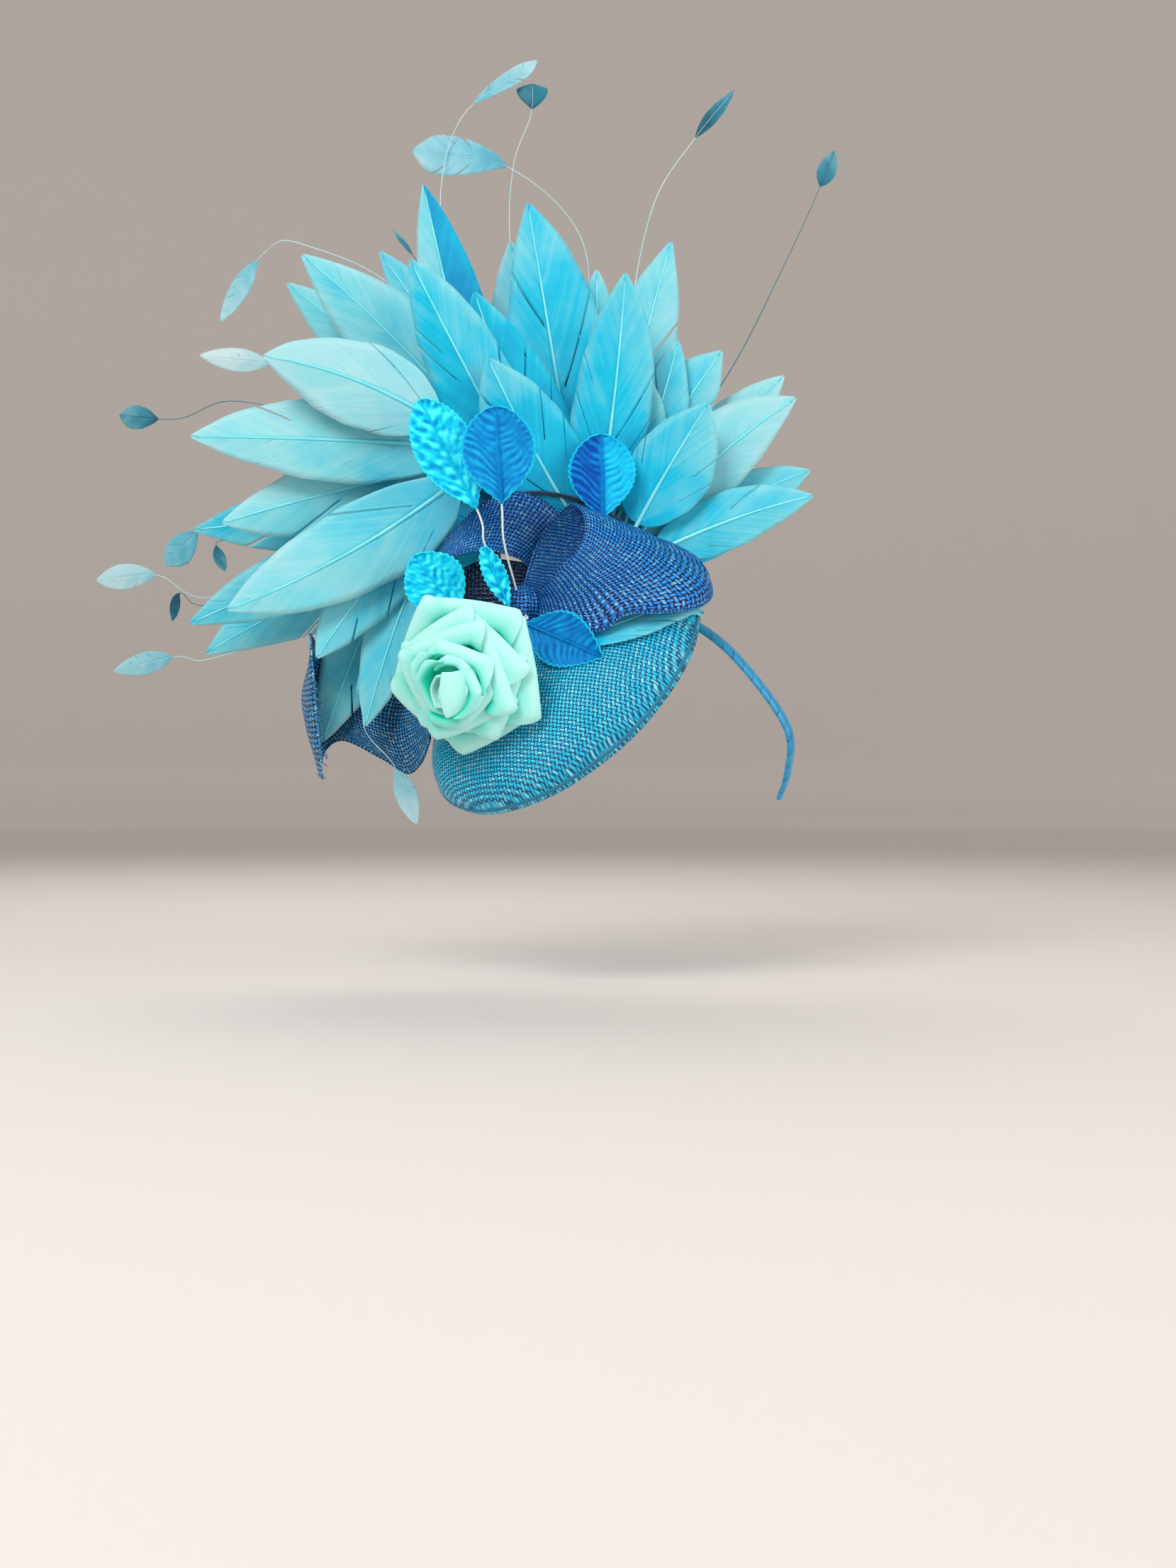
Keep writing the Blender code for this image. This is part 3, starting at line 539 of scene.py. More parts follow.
@dataclass(frozen=True)
class WeaveFinish:
    """Stiffened open straw cloth: shiny flat threads over and under, with dark painted shade in the gaps
    and dips between them and painted glints on a few crossings.
    """

    name: str
    thread_light: str
    thread_dark: str
    cross_light: str
    # painted shade: the gaps, and the threads where they dip under, take this dark colour
    gap: str
    # painted glint: the colour of a few crossings that are lit up
    spark: str
    pitch: float                      # real threads are 1.5 mm apart; drawn coarser to show
    wander: float = 0.9 * MM          # how far a thread strays from its line
    bends: float = 160.0              # in a metre; one each 6 mm
    tints: float = 30.0               # in a metre; each is 33 mm wide
    under: float = 0.55               # how high a thread shows where another passes over it
    # how strong the painted glints are
    sparkle: float = 0.55
    roughness: float = 0.3

    def build(self) -> Material:
        """Builds the material; it reads the map "thread".

        Returns:
            The material.
        """
        material, tree, shader = start_material(self.name)
        thread = add_node(tree, "UVMap", uv_map="thread")
        spot = add_node(tree, "TexCoord", out="Object")
        wobble = add_node(tree, "TexNoise", {"Vector": spot, "Scale": self.bends, "Detail": 2.0},
                          "Color")
        moved = add_node(tree, "VectorMath", (wobble, (self.wander, self.wander, 0.0), thread),
                         operation="MULTIPLY_ADD")
        parts = add_node(tree, "SeparateXYZ", (moved,)).node.outputs
        profiles, numbers = [], []
        for part in (parts[0], parts[1]):
            value = add_node(tree, "Math", (part, self.pitch), operation="DIVIDE")
            inside = add_node(tree, "Math", (value,), operation="FRACT")
            turn = add_node(tree, "Math", (inside, math.pi), operation="MULTIPLY")
            arched = add_node(tree, "Math", (turn,), operation="SINE")
            profiles.append(add_node(tree, "Math", (arched, 1.4), operation="POWER"))
            numbers.append(add_node(tree, "Math", (value,), operation="FLOOR"))
        total = add_node(tree, "Math", tuple(numbers), operation="ADD")
        cross_over = add_node(tree, "Math", (total, 1.0), operation="PINGPONG")
        long_over = add_node(tree, "Math", (1.0, cross_over), operation="SUBTRACT")
        cross, long_way = (
            add_node(tree, "Math", (
                add_node(tree, "Math", (profile, over), operation="MULTIPLY"),
                add_node(tree, "Math", (profile, self.under), operation="MULTIPLY")),
                operation="MAXIMUM")
            for profile, over in zip(profiles, (cross_over, long_over)))
        height = add_node(tree, "Math", (cross, long_way), operation="MAXIMUM")
        tint = add_node(tree, "TexNoise", {"Vector": spot, "Scale": self.tints, "Detail": 2.0})
        which = add_node(tree, "Math", (cross, long_way), operation="GREATER_THAN")
        cell = add_node(tree, "CombineXYZ", tuple(numbers))
        # painted glints on a few crossings, picked at random
        spark = add_node(tree, "TexWhiteNoise", {"Vector": cell}, noise_dimensions="2D")
        spark = add_node(tree, "Math", (spark, 3.0), operation="POWER")
        spark = add_node(tree, "Math", (spark, self.sparkle), operation="MULTIPLY")
        # painted shade: the threads darken where they dip, down to the gap colour
        shade = add_node(tree, "MapRange", {"Value": height, "From Min": 0.46, "From Max": 0.86})
        colour = linear(self.thread_dark)
        for share, other in ((tint, self.thread_light), (which, self.cross_light),
                             (spark, self.spark)):
            colour = add_node(tree, "Mix", {0: share, 6: colour, 7: linear(other)}, 2,
                              data_type="RGBA")
        colour = add_node(tree, "Mix", {0: shade, 6: linear(self.gap), 7: colour}, 2,
                          data_type="RGBA")
        bump = add_node(tree, "Bump", {"Height": height, "Strength": 0.8, "Distance": 0.7 * MM})
        fill(tree, shader, {"Base Color": colour, "Roughness": self.roughness,
                            "Specular IOR Level": 0.35, "Normal": bump})
        return material


@dataclass(frozen=True)
class FoamFinish:
    """Fine-celled foam sheet: pale and matt at the rim, with painted shade of deep green in the folds."""

    name: str = "foam_sheet"
    rim: str = "#B4F6EE"
    middle: str = "#90EEE2"
    # painted shade: the deep green that the folds take
    depth: str = "#0CDCBC"
    clouds: float = 60.0              # in a metre; each is 17 mm wide
    cells: float = 900.0              # in a metre; real cells of 1 mm
    cloudy: float = 0.12              # how far the clouds move the colour along its ramp

    def build(self) -> Material:
        """Builds the material; it reads the map "place".

        Returns:
            The material.
        """
        material, tree, shader = start_material(self.name)
        place = add_node(tree, "UVMap", uv_map="place")
        spot = add_node(tree, "TexCoord", out="Object")
        cloud, cells = (add_node(tree, "TexNoise", {"Vector": spot, "Scale": scale, "Detail": 2.0})
                        for scale in (self.clouds, self.cells))
        share = shifted(tree, add_node(tree, "SeparateXYZ", (place,)), cloud, self.cloudy)
        colour = add_node(tree, "ValToRGB", (share,), stops=(
            (0.26, self.middle), (0.44, self.depth), (0.54, self.depth), (0.66, self.middle),
            (0.80, self.rim)))
        bump = add_node(tree, "Bump", {"Height": cells, "Strength": 0.15, "Distance": 0.3 * MM})
        fill(tree, shader, {"Base Color": colour, "Roughness": 0.75, "Subsurface Weight": 0.15,
                            "Subsurface Radius": (2 * MM, 4 * MM, 3 * MM), "Normal": bump})
        return material


@dataclass(frozen=True)
class VelvetFinish:
    """Stamped velvet: a soft pile with painted highlight on its ridges and painted shade in its valleys,
    lighter at its edge.
    """

    name: str
    # ridge and valley are painted highlight and painted shade on the stamped relief
    ridge: str
    body: str
    valley: str
    edge: str
    clouds: float = 190.0             # in a metre; each is 5 mm wide
    pile: float = 1500.0              # tufts in a metre; drawn coarser to show
    cloudy: float = 0.7               # how far the clouds move the colour along its ramp

    def build(self) -> Material:
        """Builds the material; the tone holds the stamped relief, painted lighter on the ridges and
        darker in the valleys.

        Returns:
            The material.
        """
        material, tree, shader = start_material(self.name)
        tone = add_node(tree, "Attribute", out="Fac", attribute_name="tone")
        place = add_node(tree, "UVMap", uv_map="place")
        spot = add_node(tree, "TexCoord", out="Object")
        cloud, pile = (add_node(tree, "TexNoise", {"Vector": spot, "Scale": scale, "Detail": detail})
                       for scale, detail in ((self.clouds, 4.0), (self.pile, 2.0)))
        stamped = add_node(tree, "ValToRGB", (shifted(tree, tone, cloud, self.cloudy),), stops=(
            (0.12, self.valley), (0.5, self.body), (0.88, self.ridge)))
        across = add_node(tree, "SeparateXYZ", (place,), 1)
        across = add_node(tree, "Math", (across, 0.5), operation="SUBTRACT")
        across = add_node(tree, "Math", (across,), operation="ABSOLUTE")
        rim = add_node(tree, "MapRange", {"Value": across, "From Min": 0.455, "From Max": 0.495})
        colour = add_node(tree, "Mix", {0: rim, 6: stamped, 7: linear(self.edge)}, 2,
                          data_type="RGBA")
        bump = add_node(tree, "Bump", {"Height": pile, "Strength": 0.2, "Distance": 0.4 * MM})
        fill(tree, shader, {"Base Color": colour, "Roughness": 0.6, "Specular IOR Level": 0.12,
                            "Sheen Weight": 0.1, "Sheen Roughness": 0.35,
                            "Sheen Tint": linear(self.ridge), "Normal": bump})
        return material


@dataclass(frozen=True)
class SatinFinish:
    """Satin ribbon wound round the band: glossy, with a shadow at each lap."""

    name: str = "satin_ribbon"
    light: str = "#1698C8"
    dark: str = "#03406C"
    ribs: float = 1400.0              # in a metre; one each 0.7 mm
    rib_breaks: float = 90.0          # in a metre; one each 11 mm
    ribbed: float = 0.35              # how far the ribs move the colour

    def build(self) -> Material:
        """Builds the material; the tone is 1 at the laps.

        Returns:
            The material.
        """
        material, tree, shader = start_material(self.name)
        tone = add_node(tree, "Attribute", out="Fac", attribute_name="tone")
        thread = add_node(tree, "UVMap", uv_map="thread")
        spread = add_node(tree, "Mapping", {"Vector": thread, "Scale": (self.ribs, self.rib_breaks, 1.0)})
        ribs = add_node(tree, "TexNoise", {"Vector": spread, "Scale": 1.0, "Detail": 2.0})
        share = shifted(tree, tone, ribs, self.ribbed)
        colour = add_node(tree, "Mix", {0: share, 6: linear(self.light), 7: linear(self.dark)}, 2,
                          data_type="RGBA")
        bump = add_node(tree, "Bump", {"Height": ribs, "Strength": 0.25, "Distance": 0.4 * MM})
        fill(tree, shader, {"Base Color": colour, "Roughness": 0.24, "Sheen Weight": 0.2,
                            "Normal": bump})
        return material


class Finish(Enum):
    """The finishes of the fascinator, each built once."""

    # trimmed goose vane: turquoise streaks, pale at the tips, deep near the quills, where painted shade
    # stands for the overlap of the feathers
    VANE = VaneFinish()
    # the wisps' undyed vane: nearly white, with grey-blue barbs
    WISP_VANE = VaneFinish("undyed_vane", "#C0DADC", "#97CAD4", "#5FB2C6", "#2F8298", "#2A6A7C")
    # the darker wisps: dull teal that reads against the pale room
    SHADE_VANE = VaneFinish("dull_teal_vane", "#A9CDD2", "#6FA9B4", "#2A7C91", "#155166")
    # shafts: a bright glossy line down each feather
    SHAFT = SmoothFinish("feather_shaft", "#9CF8FA", "#34D2E6", 0.25, 60.0, coat=0.3)
    # stripped quills: thin pale or dark lines against the room
    STEM = SmoothFinish("stripped_stem", "#D8EEF0", "#86C2CC", 0.35, 45.0)
    DARK_STEM = SmoothFinish("dark_stem", "#2C7F92", "#0F4B5C", 0.4, 45.0)
    # straw cloth: bright on the dome, royal blue on the loops, painted in deep shadow on the tuck,
    # and dark with light crossing threads on the low loop
    DOME_STRAW = WeaveFinish("dome_straw", "#22E6FF", "#00AADC", "#10CCF2", "#005684",
                             "#A4F8FF", 1.9 * MM)
    LOOP_STRAW = WeaveFinish("loop_straw", "#14A4F8", "#0048CC", "#0688E4", "#00083A",
                             "#7CD2FF", 2.05 * MM)
    # painted shade: the tuck lies deep in shadow behind the loops, so its straw is painted dark
    SHADOWED_STRAW = WeaveFinish("shadowed_straw", "#123E70", "#06204A", "#0C3060", "#010614",
                             "#2C78B0", 2.3 * MM)
    LOW_STRAW = WeaveFinish("low_straw", "#54C4F8", "#023272", "#1A94E0", "#000824",
                            "#A4E0FA", 2.3 * MM)
    # the dome's folded rim: a darker line that ends the bright weave
    RIM = SmoothFinish("folded_rim", "#1D8FB4", "#0A5F80", 0.4, 500.0, bump=0.6)
    # ribbon on the band: blue gloss broken by the laps
    SATIN = SatinFinish()
    # the rose: pale mint rims round painted green shadows
    FOAM = FoamFinish()
    # felt: a dull dark ground that stays out of sight behind the trim
    FELT = SmoothFinish("wool_felt", "#124A66", "#06263C", 0.95, 300.0, sheen=0.4, bump=0.8)
    # binding thread: small teal coils
    THREAD = SmoothFinish("sewing_thread", "#2F9DB5", "#15708A", 0.55, 400.0, bump=0.5)
    # the leaves' wrapped wires: thin white lines
    WIRE = SmoothFinish("paper_wire", "#F4F6F4", "#CFDADB", 0.6, 300.0, bump=0.4)
    # velvet leaves: cyan, mid blue, and one that turns from cyan to blue
    BRIGHT_VELVET = VelvetFinish("bright_velvet", "#4CF6FF", "#00D2F4", "#0098D4", "#30EAFC")
    BLUE_VELVET = VelvetFinish("blue_velvet", "#18B8EE", "#0088CE", "#0060A6", "#18CCF0")
    TWO_TONE_VELVET = VelvetFinish("two_tone_velvet", "#14CCF4", "#008AD8", "#0048A8", "#18D2F6")


# materials that are made already, by the finish's name
_made: dict[str, Material] = {}


def dress(finish: Finish) -> Material:
    """Gives the material of a finish, made only once.

    Args:
        finish: the finish.

    Returns:
        Its material.
    """
    if finish.name not in _made:
        _made[finish.name] = finish.value.build()
    return _made[finish.name]


def settle(piece: Object, slot: str, *nodes: str) -> Object:
    """Lets a piece ride on the part and stand for its nodes.

    Args:
        piece: the finished piece.
        slot: a material slot's name; not used.
        nodes: the CAD nodes that it stands for.

    Returns:
        The piece.
    """
    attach(piece, "root")
    if nodes:
        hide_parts(*nodes)
    log.info("%s: %d faces", piece.name, len(piece.data.polygons))
    return piece


# Dome

@dataclass
class Dome:
    """The woven saucer: half a squashed sphere with a folded rim."""

    centre: tuple[float, float, float] = (-26.0, -14.0, -43.0)
    up: tuple[float, float, float] = (-0.50, -0.63, 0.59)
    long: tuple[float, float, float] = (0.72, 0.075, 0.69)
    half_length: float = 86.0
    half_width: float = 65.0
    height: float = 33.0
    wall: float = 1.6
    rim_radius: float = 1.5
    bias: float = 38.0                # the cloth is cut across its threads, in degrees
    dent: float = 0.35                # how far the cloth is uneven, in mm
    turned_in: tuple = (1.66, 1.70)   # the rim's last rings, in radians from the top

    def directions(self) -> tuple[np.ndarray, np.ndarray, np.ndarray]:
        """Works out the dome's own directions.

        Returns:
            The long, cross and up directions.
        """
        up = unit(np.array(self.up))
        long_way = np.array(self.long)
        long_way = unit(long_way - up * (long_way @ up))
        return long_way, np.cross(up, long_way), up

    def point(self, along: np.ndarray, across: np.ndarray,
              lift: np.ndarray | float = 0.0) -> np.ndarray:
        """Returns points on the outer face, lifted off it.

        Args:
            along: mm along the long direction.
            across: mm along the cross direction.
            lift: mm off the face.

        Returns:
            Points of the trim's frame in mm.
        """
        long_way, cross_way, up = self.directions()
        along, across = np.asarray(along, float), np.asarray(across, float)
        inside = 1.0 - (along / self.half_length) ** 2 - (across / self.half_width) ** 2
        rise = self.height * np.sqrt(np.maximum(inside, 0.0))
        normal = unit(along[..., None] / self.half_length ** 2 * long_way
                      + across[..., None] / self.half_width ** 2 * cross_way
                      + rise[..., None] / self.height ** 2 * up)
        spot = (np.array(self.centre) + along[..., None] * long_way
                + across[..., None] * cross_way + rise[..., None] * up)
        return spot + normal * np.asarray(lift, float)[..., None]

    def build(self) -> Object:
        """Builds the dome with its rim.

        Returns:
            The piece.
        """
        long_way, cross_way, up = self.directions()
        rings, turns = 34, 97
        polar = np.concatenate((np.linspace(0.02, math.pi / 2, rings - 2), self.turned_in))
        angle = np.linspace(0.0, math.tau, turns)
        grow = np.sin(polar)[:, None] * np.stack((np.cos(angle), np.sin(angle)))[:, None, :]
        along = grow[0] * (self.half_length - self.wall / 2)
        across = grow[1] * (self.half_width - self.wall / 2)
        rise = np.cos(polar)[:, None] * (self.height - self.wall / 2) * np.ones_like(along)
        dents = self.dent * np.sin(along / 11.0 + 1.0) * np.sin(across / 9.0)
        points = (np.array(self.centre) + along[..., None] * long_way
                  + across[..., None] * cross_way + (rise + dents)[..., None] * up)
        points = points[::-1]
        turn = math.radians(self.bias)
        uv = np.stack((along * math.cos(turn) + across * math.sin(turn),
                       across * math.cos(turn) - along * math.sin(turn)), axis=-1)[::-1] * MM
        share = grid(np.linspace(1, 0, rings)[:, None], np.linspace(0, 1, turns)[None])
        patches = [Patch(points, uv, share, thickness=self.wall)]
        lip = points[2]
        rim = tube(np.vstack((lip, lip[1:3])), self.rim_radius, 8, facing=tuple(-up))
        patches.append(Patch(rim.points, rim.uv, rim.place, material=1))
        piece = build_piece("dome_weave", patches,
                            [dress(Finish.DOME_STRAW), dress(Finish.RIM)])
        return settle(piece, "straw", "base")


# Headband

@dataclass
class Band:
    """The thin band over the head, wound with satin ribbon."""

    profile: tuple = ((0.0, 0.0), (30.0, 5.0), (55.0, 20.0), (75.0, 45.0), (88.0, 72.0),
                      (84.0, 95.0), (77.0, 110.0))
    width: float = 8.0
    thickness: float = 2.5
    lean: float = 22.0
    crown: float = 0.6
    lap: float = 7.5                  # how far the winding advances in each turn, in mm
    slant: float = 0.8                # how far a lap leans along the band
    lap_rise: float = 0.10            # how much each lap swells
    lap_shadow: float = 0.16          # the share of a lap that is in shadow
    steps: int = 420
    sides: int = 20

    def build(self) -> Object:
        """Builds the wound band.

        Returns:
            The piece.
        """
        half = list(self.profile)
        line = Line([(-side, down) for side, down in reversed(half[1:])] + half)
        share = np.linspace(0.0, 1.0, self.steps)
        spots = line.at(share)
        way = line.way(share)
        outward = np.stack((way[:, 1], -way[:, 0]), axis=-1)
        run = share * line.length
        angle = np.linspace(0.0, math.tau, self.sides + 1)
        section = np.stack((np.cos(angle) * np.abs(np.cos(angle)) ** -0.35
                            * self.width / 2.0 * 0.98,
                            np.sin(angle) * (self.thickness / 2.0 + 0.25)), axis=-1)
        end = np.clip(np.minimum(run, line.length - run) / 2.0, 0.0, 1.0) ** 0.5
        wound = run[:, None] + section[None, :, 0] * self.slant
        phase = wound / self.lap
        inside = phase - np.floor(phase)
        step = 1.0 + self.lap_rise * (inside - 0.5)
        wide = section[None, :, 0] * np.maximum(end, 0.15)[:, None]
        lift = (section[None, :, 1] * step * np.maximum(end, 0.2)[:, None]
                + self.thickness / 2.0 + self.crown * (1.0 - (wide / (self.width / 2.0)) ** 2))
        side = spots[:, None, 0] + outward[:, None, 0] * lift
        down = spots[:, None, 1] + outward[:, None, 1] * lift
        lean = math.radians(self.lean)
        forward = down * math.sin(lean) + wide * math.cos(lean)
        drop = down * math.cos(lean) - wide * math.sin(lean)
        points = np.stack((side, forward, -drop), axis=-1)
        uv = grid(wound, angle[None] * 3.0) * MM
        place = grid(share[:, None], angle[None] / 6.3)
        tone = np.clip(1.0 - inside / self.lap_shadow, 0.0, 1.0) + 0.25 * inside
        patch = Patch(points, uv, place, tone=tone, caps=True)
        piece = build_piece("band_satin", [patch], [dress(Finish.SATIN)], world=True)
        return settle(piece, "satin", "headband")


# Feathers

@dataclass
class Fan:
    """How the feathers stand: on an arch, in layers that lean forward."""

    centre: tuple[float, float] = (-25.0, 26.0)
    start: float = 30.0
    front: float = 3.0
    layer_gap: float = 5.0
    lean: float = 0.14
    lean_step: float = 0.065
    cup: float = 0.0004
    arch: Line = field(default_factory=lambda: Line(
        ((-61.0, -19.0), (-62.6, 15.0), (-62.5, 40.0), (-57.5, 55.0), (-46.0, 61.0),
         (-25.0, 59.0), (-4.0, 50.5), (12.5, 37.0), (21.5, 15.0))))
    arch_wall: float = 2.4
    stand_off: float = 0.72

    def depth(self, across: np.ndarray, up: np.ndarray, layer: float) -> np.ndarray:
        """Leans a layer back from its place in the fan.

        Args:
            across: mm to the right.
            up: mm up.
            layer: the layer's number, 0 in front.

        Returns:
            The depth in mm.
        """
        out = np.hypot(across - self.centre[0], up - self.centre[1]) - self.start
        lean = self.lean - self.lean_step * layer
        return -(self.front - self.layer_gap * layer + lean * out + self.cup * out * out)

    def seat(self, share: float) -> tuple[np.ndarray, np.ndarray]:
        """Finds a place on the arch and its outward direction.

        Args:
            share: the share of the arch's length.

        Returns:
            The place and the direction.
        """
        point = self.arch.at(share)
        way = self.arch.way(share)
        return point, np.array((-way[1], way[0]))

    def foot(self, share: float) -> np.ndarray:
        """Returns where a quill starts."""
        point, outward = self.seat(share)
        return point + outward * (self.arch_wall / 2.0 + self.stand_off)


@dataclass
class Vane:
    """The web of a feather on both sides of its shaft, barb by barb."""

    width: float
    bare: float = 0.04
    widest: float = 0.42
    sweep: float = 1.9
    ragged: float = 0.008
    splits: int = 2
    rows: int = 84
    columns: int = 8
    thickness: float = 0.45
    one_side: float = 0.0
    rise: float = 0.48
    shaded: float = 0.0               # how much painted shade darkens the right web
    lopsided: float = 0.0             # how much nearer the tip one web is widest
    uneven: float = 0.0

    def half_width(self, x: np.ndarray, side: float, phase: float) -> np.ndarray:
        """Follows the trimmed outline along the shaft.

        Args:
            x: shares of the shaft.
            side: 1 or -1, for the two webs.
            phase: where the outline's sway starts.

        Returns:
            Half widths in mm.
        """
        widest = self.widest + side * self.lopsided
        v = np.clip((x - self.bare) / (1.0 - self.bare), 0.0, 1.0)
        rise = np.sin(0.5 * math.pi * np.clip(v / widest, 0.0, 1.0)) ** self.rise
        fall = np.cos(0.5 * math.pi * np.clip((v - widest) / (1.0 - widest), 0.0, 1.0))
        fall = fall ** 0.76 * (1.0 - 0.2 * np.clip((v - 0.84) / 0.16, 0.0, 1.0) ** 2)
        sway = 1.0 + self.uneven * (np.sin(v * 11.0 + phase) + 0.6 * np.sin(v * 27.0 + 2.0 * phase))
        return np.maximum(self.width / 2.0 * np.where(v < widest, rise, fall) * sway, 0.25)

    def patches(self, shaft: Line, surface: Surface, draw: random.Random, tone: float,
                material: int = 0) -> list[Patch]:
        """Builds both webs.

        Args:
            shaft: the shaft's flat line, in mm.
            surface: lifts flat points, with their distance from the shaft.
            draw: the feather's own random numbers.
            tone: how deep its dye is, from 0 to 1.
            material: the material's number.

        Returns:
            One patch for each side of the shaft.
        """
        made = []
        for side in (1.0, -1.0):
            share = self.bare + (1.0 - self.bare) * np.linspace(0.0, 0.997, self.rows)
            wide = self.half_width(share, side, draw.uniform(0.0, 6.3))
            wide = wide * (1.0 + side * self.one_side)
            jag = np.array([draw.uniform(-1.0, 1.0) for _ in range(self.rows)])
            jag = np.convolve(jag, (0.25, 0.5, 0.25), "same")
            wide = wide * (1.0 + self.ragged * jag)
            sweep = self.sweep * smooth((share - self.bare) / 0.25) * (0.8 + 0.5 * share)
            length = shaft.length
            root = np.maximum.accumulate(np.maximum(share * length - sweep * wide,
                                                    self.bare * length * 0.6))
            out = np.linspace(0.0, 1.0, self.columns)
            shift, keep = self.open_splits(draw, length)
            reach = share[:, None] * length - root[:, None]
            run = root[:, None] + reach * out[None] ** 1.15 + shift * (out[None] > 0.0)
            lateral = wide[:, None] * out[None]
            where = np.clip(run / length, 0.0, 1.0)
            flat = shaft.at(where)
            way = shaft.way(where)
            x = flat[..., 0] - way[..., 1] * lateral * side
            y = flat[..., 1] + way[..., 0] * lateral * side
            points = surface(x, y, lateral)
            uv = np.stack((np.broadcast_to(root[:, None], x.shape) * MM,
                           lateral * MM + 0.05 * (side + 2.0)), axis=-1)
            place = grid(share[:, None], out[None])
            # painted shade: deeper towards the quill, where the feathers overlap, and on the right web by
            # shaded; paler towards the web's edge, with a thin pale rim
            shade = (tone + 0.42 * (1.0 - share)[:, None] ** 1.3 - 0.10 * out[None]
                     - 0.16 * out[None] ** 9 + (self.shaded if side < 0.0 else 0.0))
            thin = np.full(x.shape, self.thickness)
            thin[:, -1] *= 0.5
            if side < 0.0:
                points, uv, place = points[:, ::-1], uv[:, ::-1], place[:, ::-1]
                shade, keep = shade[:, ::-1], keep[:, ::-1]
            made.append(Patch(points, uv, place, tone=shade, thickness=thin, keep=keep,
                              material=material))
        return made

    def open_splits(self, draw: random.Random, length: float
                    ) -> tuple[np.ndarray, np.ndarray]:
        """Parts the barbs at a few rows.

        Args:
            draw: the feather's own random numbers.
            length: the shaft's length in mm.

        Returns:
            The rows' shift along the shaft, and the faces to keep.
        """
        shift = np.zeros((self.rows, self.columns))
        keep = np.ones((self.rows - 1, self.columns - 1), bool)
        out = np.linspace(0.0, 1.0, self.columns)
        half_cell = length * (1.0 - self.bare) / (self.rows - 1) / 2.0
        for _ in range(self.splits):
            row = draw.randrange(int(self.rows * 0.25), int(self.rows * 0.84))
            first = draw.randrange(1, self.columns - 2)
            opens = draw.uniform(0.3, 1.5)
            spread = np.clip((out - out[first]) / (1.0 - out[first]), 0.0, 1.0)
            meet = half_cell * np.where(np.arange(self.columns) > first, 0.96 - opens * spread, 0.0)
            for step in range(8):
                fade = 1.0 - step / 8.0
                if row - step >= 0:
                    shift[row - step] += meet * fade
                if row + 1 + step < self.rows:
                    shift[row + 1 + step] -= meet * fade
            keep[row, first:] = False
        return shift, keep


@dataclass
class Feather:
    """One trimmed goose feather that stands in the fan."""

    name: str
    layer: float
    seat: float
    tip: tuple[float, float]
    width: float
    bow: float
    tone: float
    node: bool = True
    droop: float = 0.10
    splits: int = 2
    fullness: float = 1.12
    # painted shade that darkens the right web
    shaded: float = 0.0
    root: tuple[float, float] | None = None
    shaft: float = 1.25               # the shaft's radius at the foot, in mm
    thinning: float = 0.85            # how much of it is gone at the tip

    def build(self, fan: Fan) -> Object:
        """Builds the feather with its shaft.

        Args:
            fan: the arch and the layers.

        Returns:
            The piece.
        """
        draw = random.Random(self.name)
        start = fan.foot(self.seat) if self.root is None else np.array(self.root, float)
        end = np.array(self.tip, float)
        way = end - start
        side = unit(np.array((-way[1], way[0])))
        middle = start + way * 0.5 + side * self.bow
        t = np.linspace(0.0, 1.0, 9)[:, None]
        line = Line(start * (1 - t) ** 2 + middle * 2 * t * (1 - t) + end * t ** 2)
        phase = draw.uniform(0.0, 6.3)
        twist = draw.uniform(-0.05, 0.05)

        def surface(x: np.ndarray, y: np.ndarray, lateral: np.ndarray) -> np.ndarray:
            """Lifts flat points to the feather's bowed layer.

            Args:
                x: mm to the right.
                y: mm up.
                lateral: mm from the shaft.

            Returns:
                Points of the trim's frame in mm.
            """
            out = np.hypot(x - start[0], y - start[1]) / line.length
            ripple = 0.5 * np.sin(out * 17.0 + phase) * (lateral / self.width * 2.0) ** 2
            across = (x - start[0]) * side[0] + (y - start[1]) * side[1]
            deep = (fan.depth(x, y, self.layer) + self.droop * lateral + ripple
                    + twist * across * out)
            return np.stack((x, deep, y), axis=-1)

        vane = Vane(self.width * self.fullness, splits=self.splits,
                    one_side=draw.uniform(-0.06, 0.06),
                    shaded=self.shaded + draw.uniform(-0.09, 0.09),
                    lopsided=draw.uniform(-0.09, 0.09), uneven=0.022)
        patches = vane.patches(line, surface, draw, self.tone)
        share = np.linspace(0.0, 0.975, 40)
        flat = line.at(share)
        spine = surface(flat[:, 0], flat[:, 1], np.zeros(len(flat)))
        spine[:, 1] -= 0.25
        patches.append(tube(spine, self.shaft - self.thinning * share ** 0.9, 8, material=1,
                            flat=0.8))
        piece = build_piece("plume_" + self.name, patches,
                            [dress(Finish.VANE), dress(Finish.SHAFT)])
        nodes = ("feather_" + self.name,) if self.node else ()
        return settle(piece, "plume", *nodes)


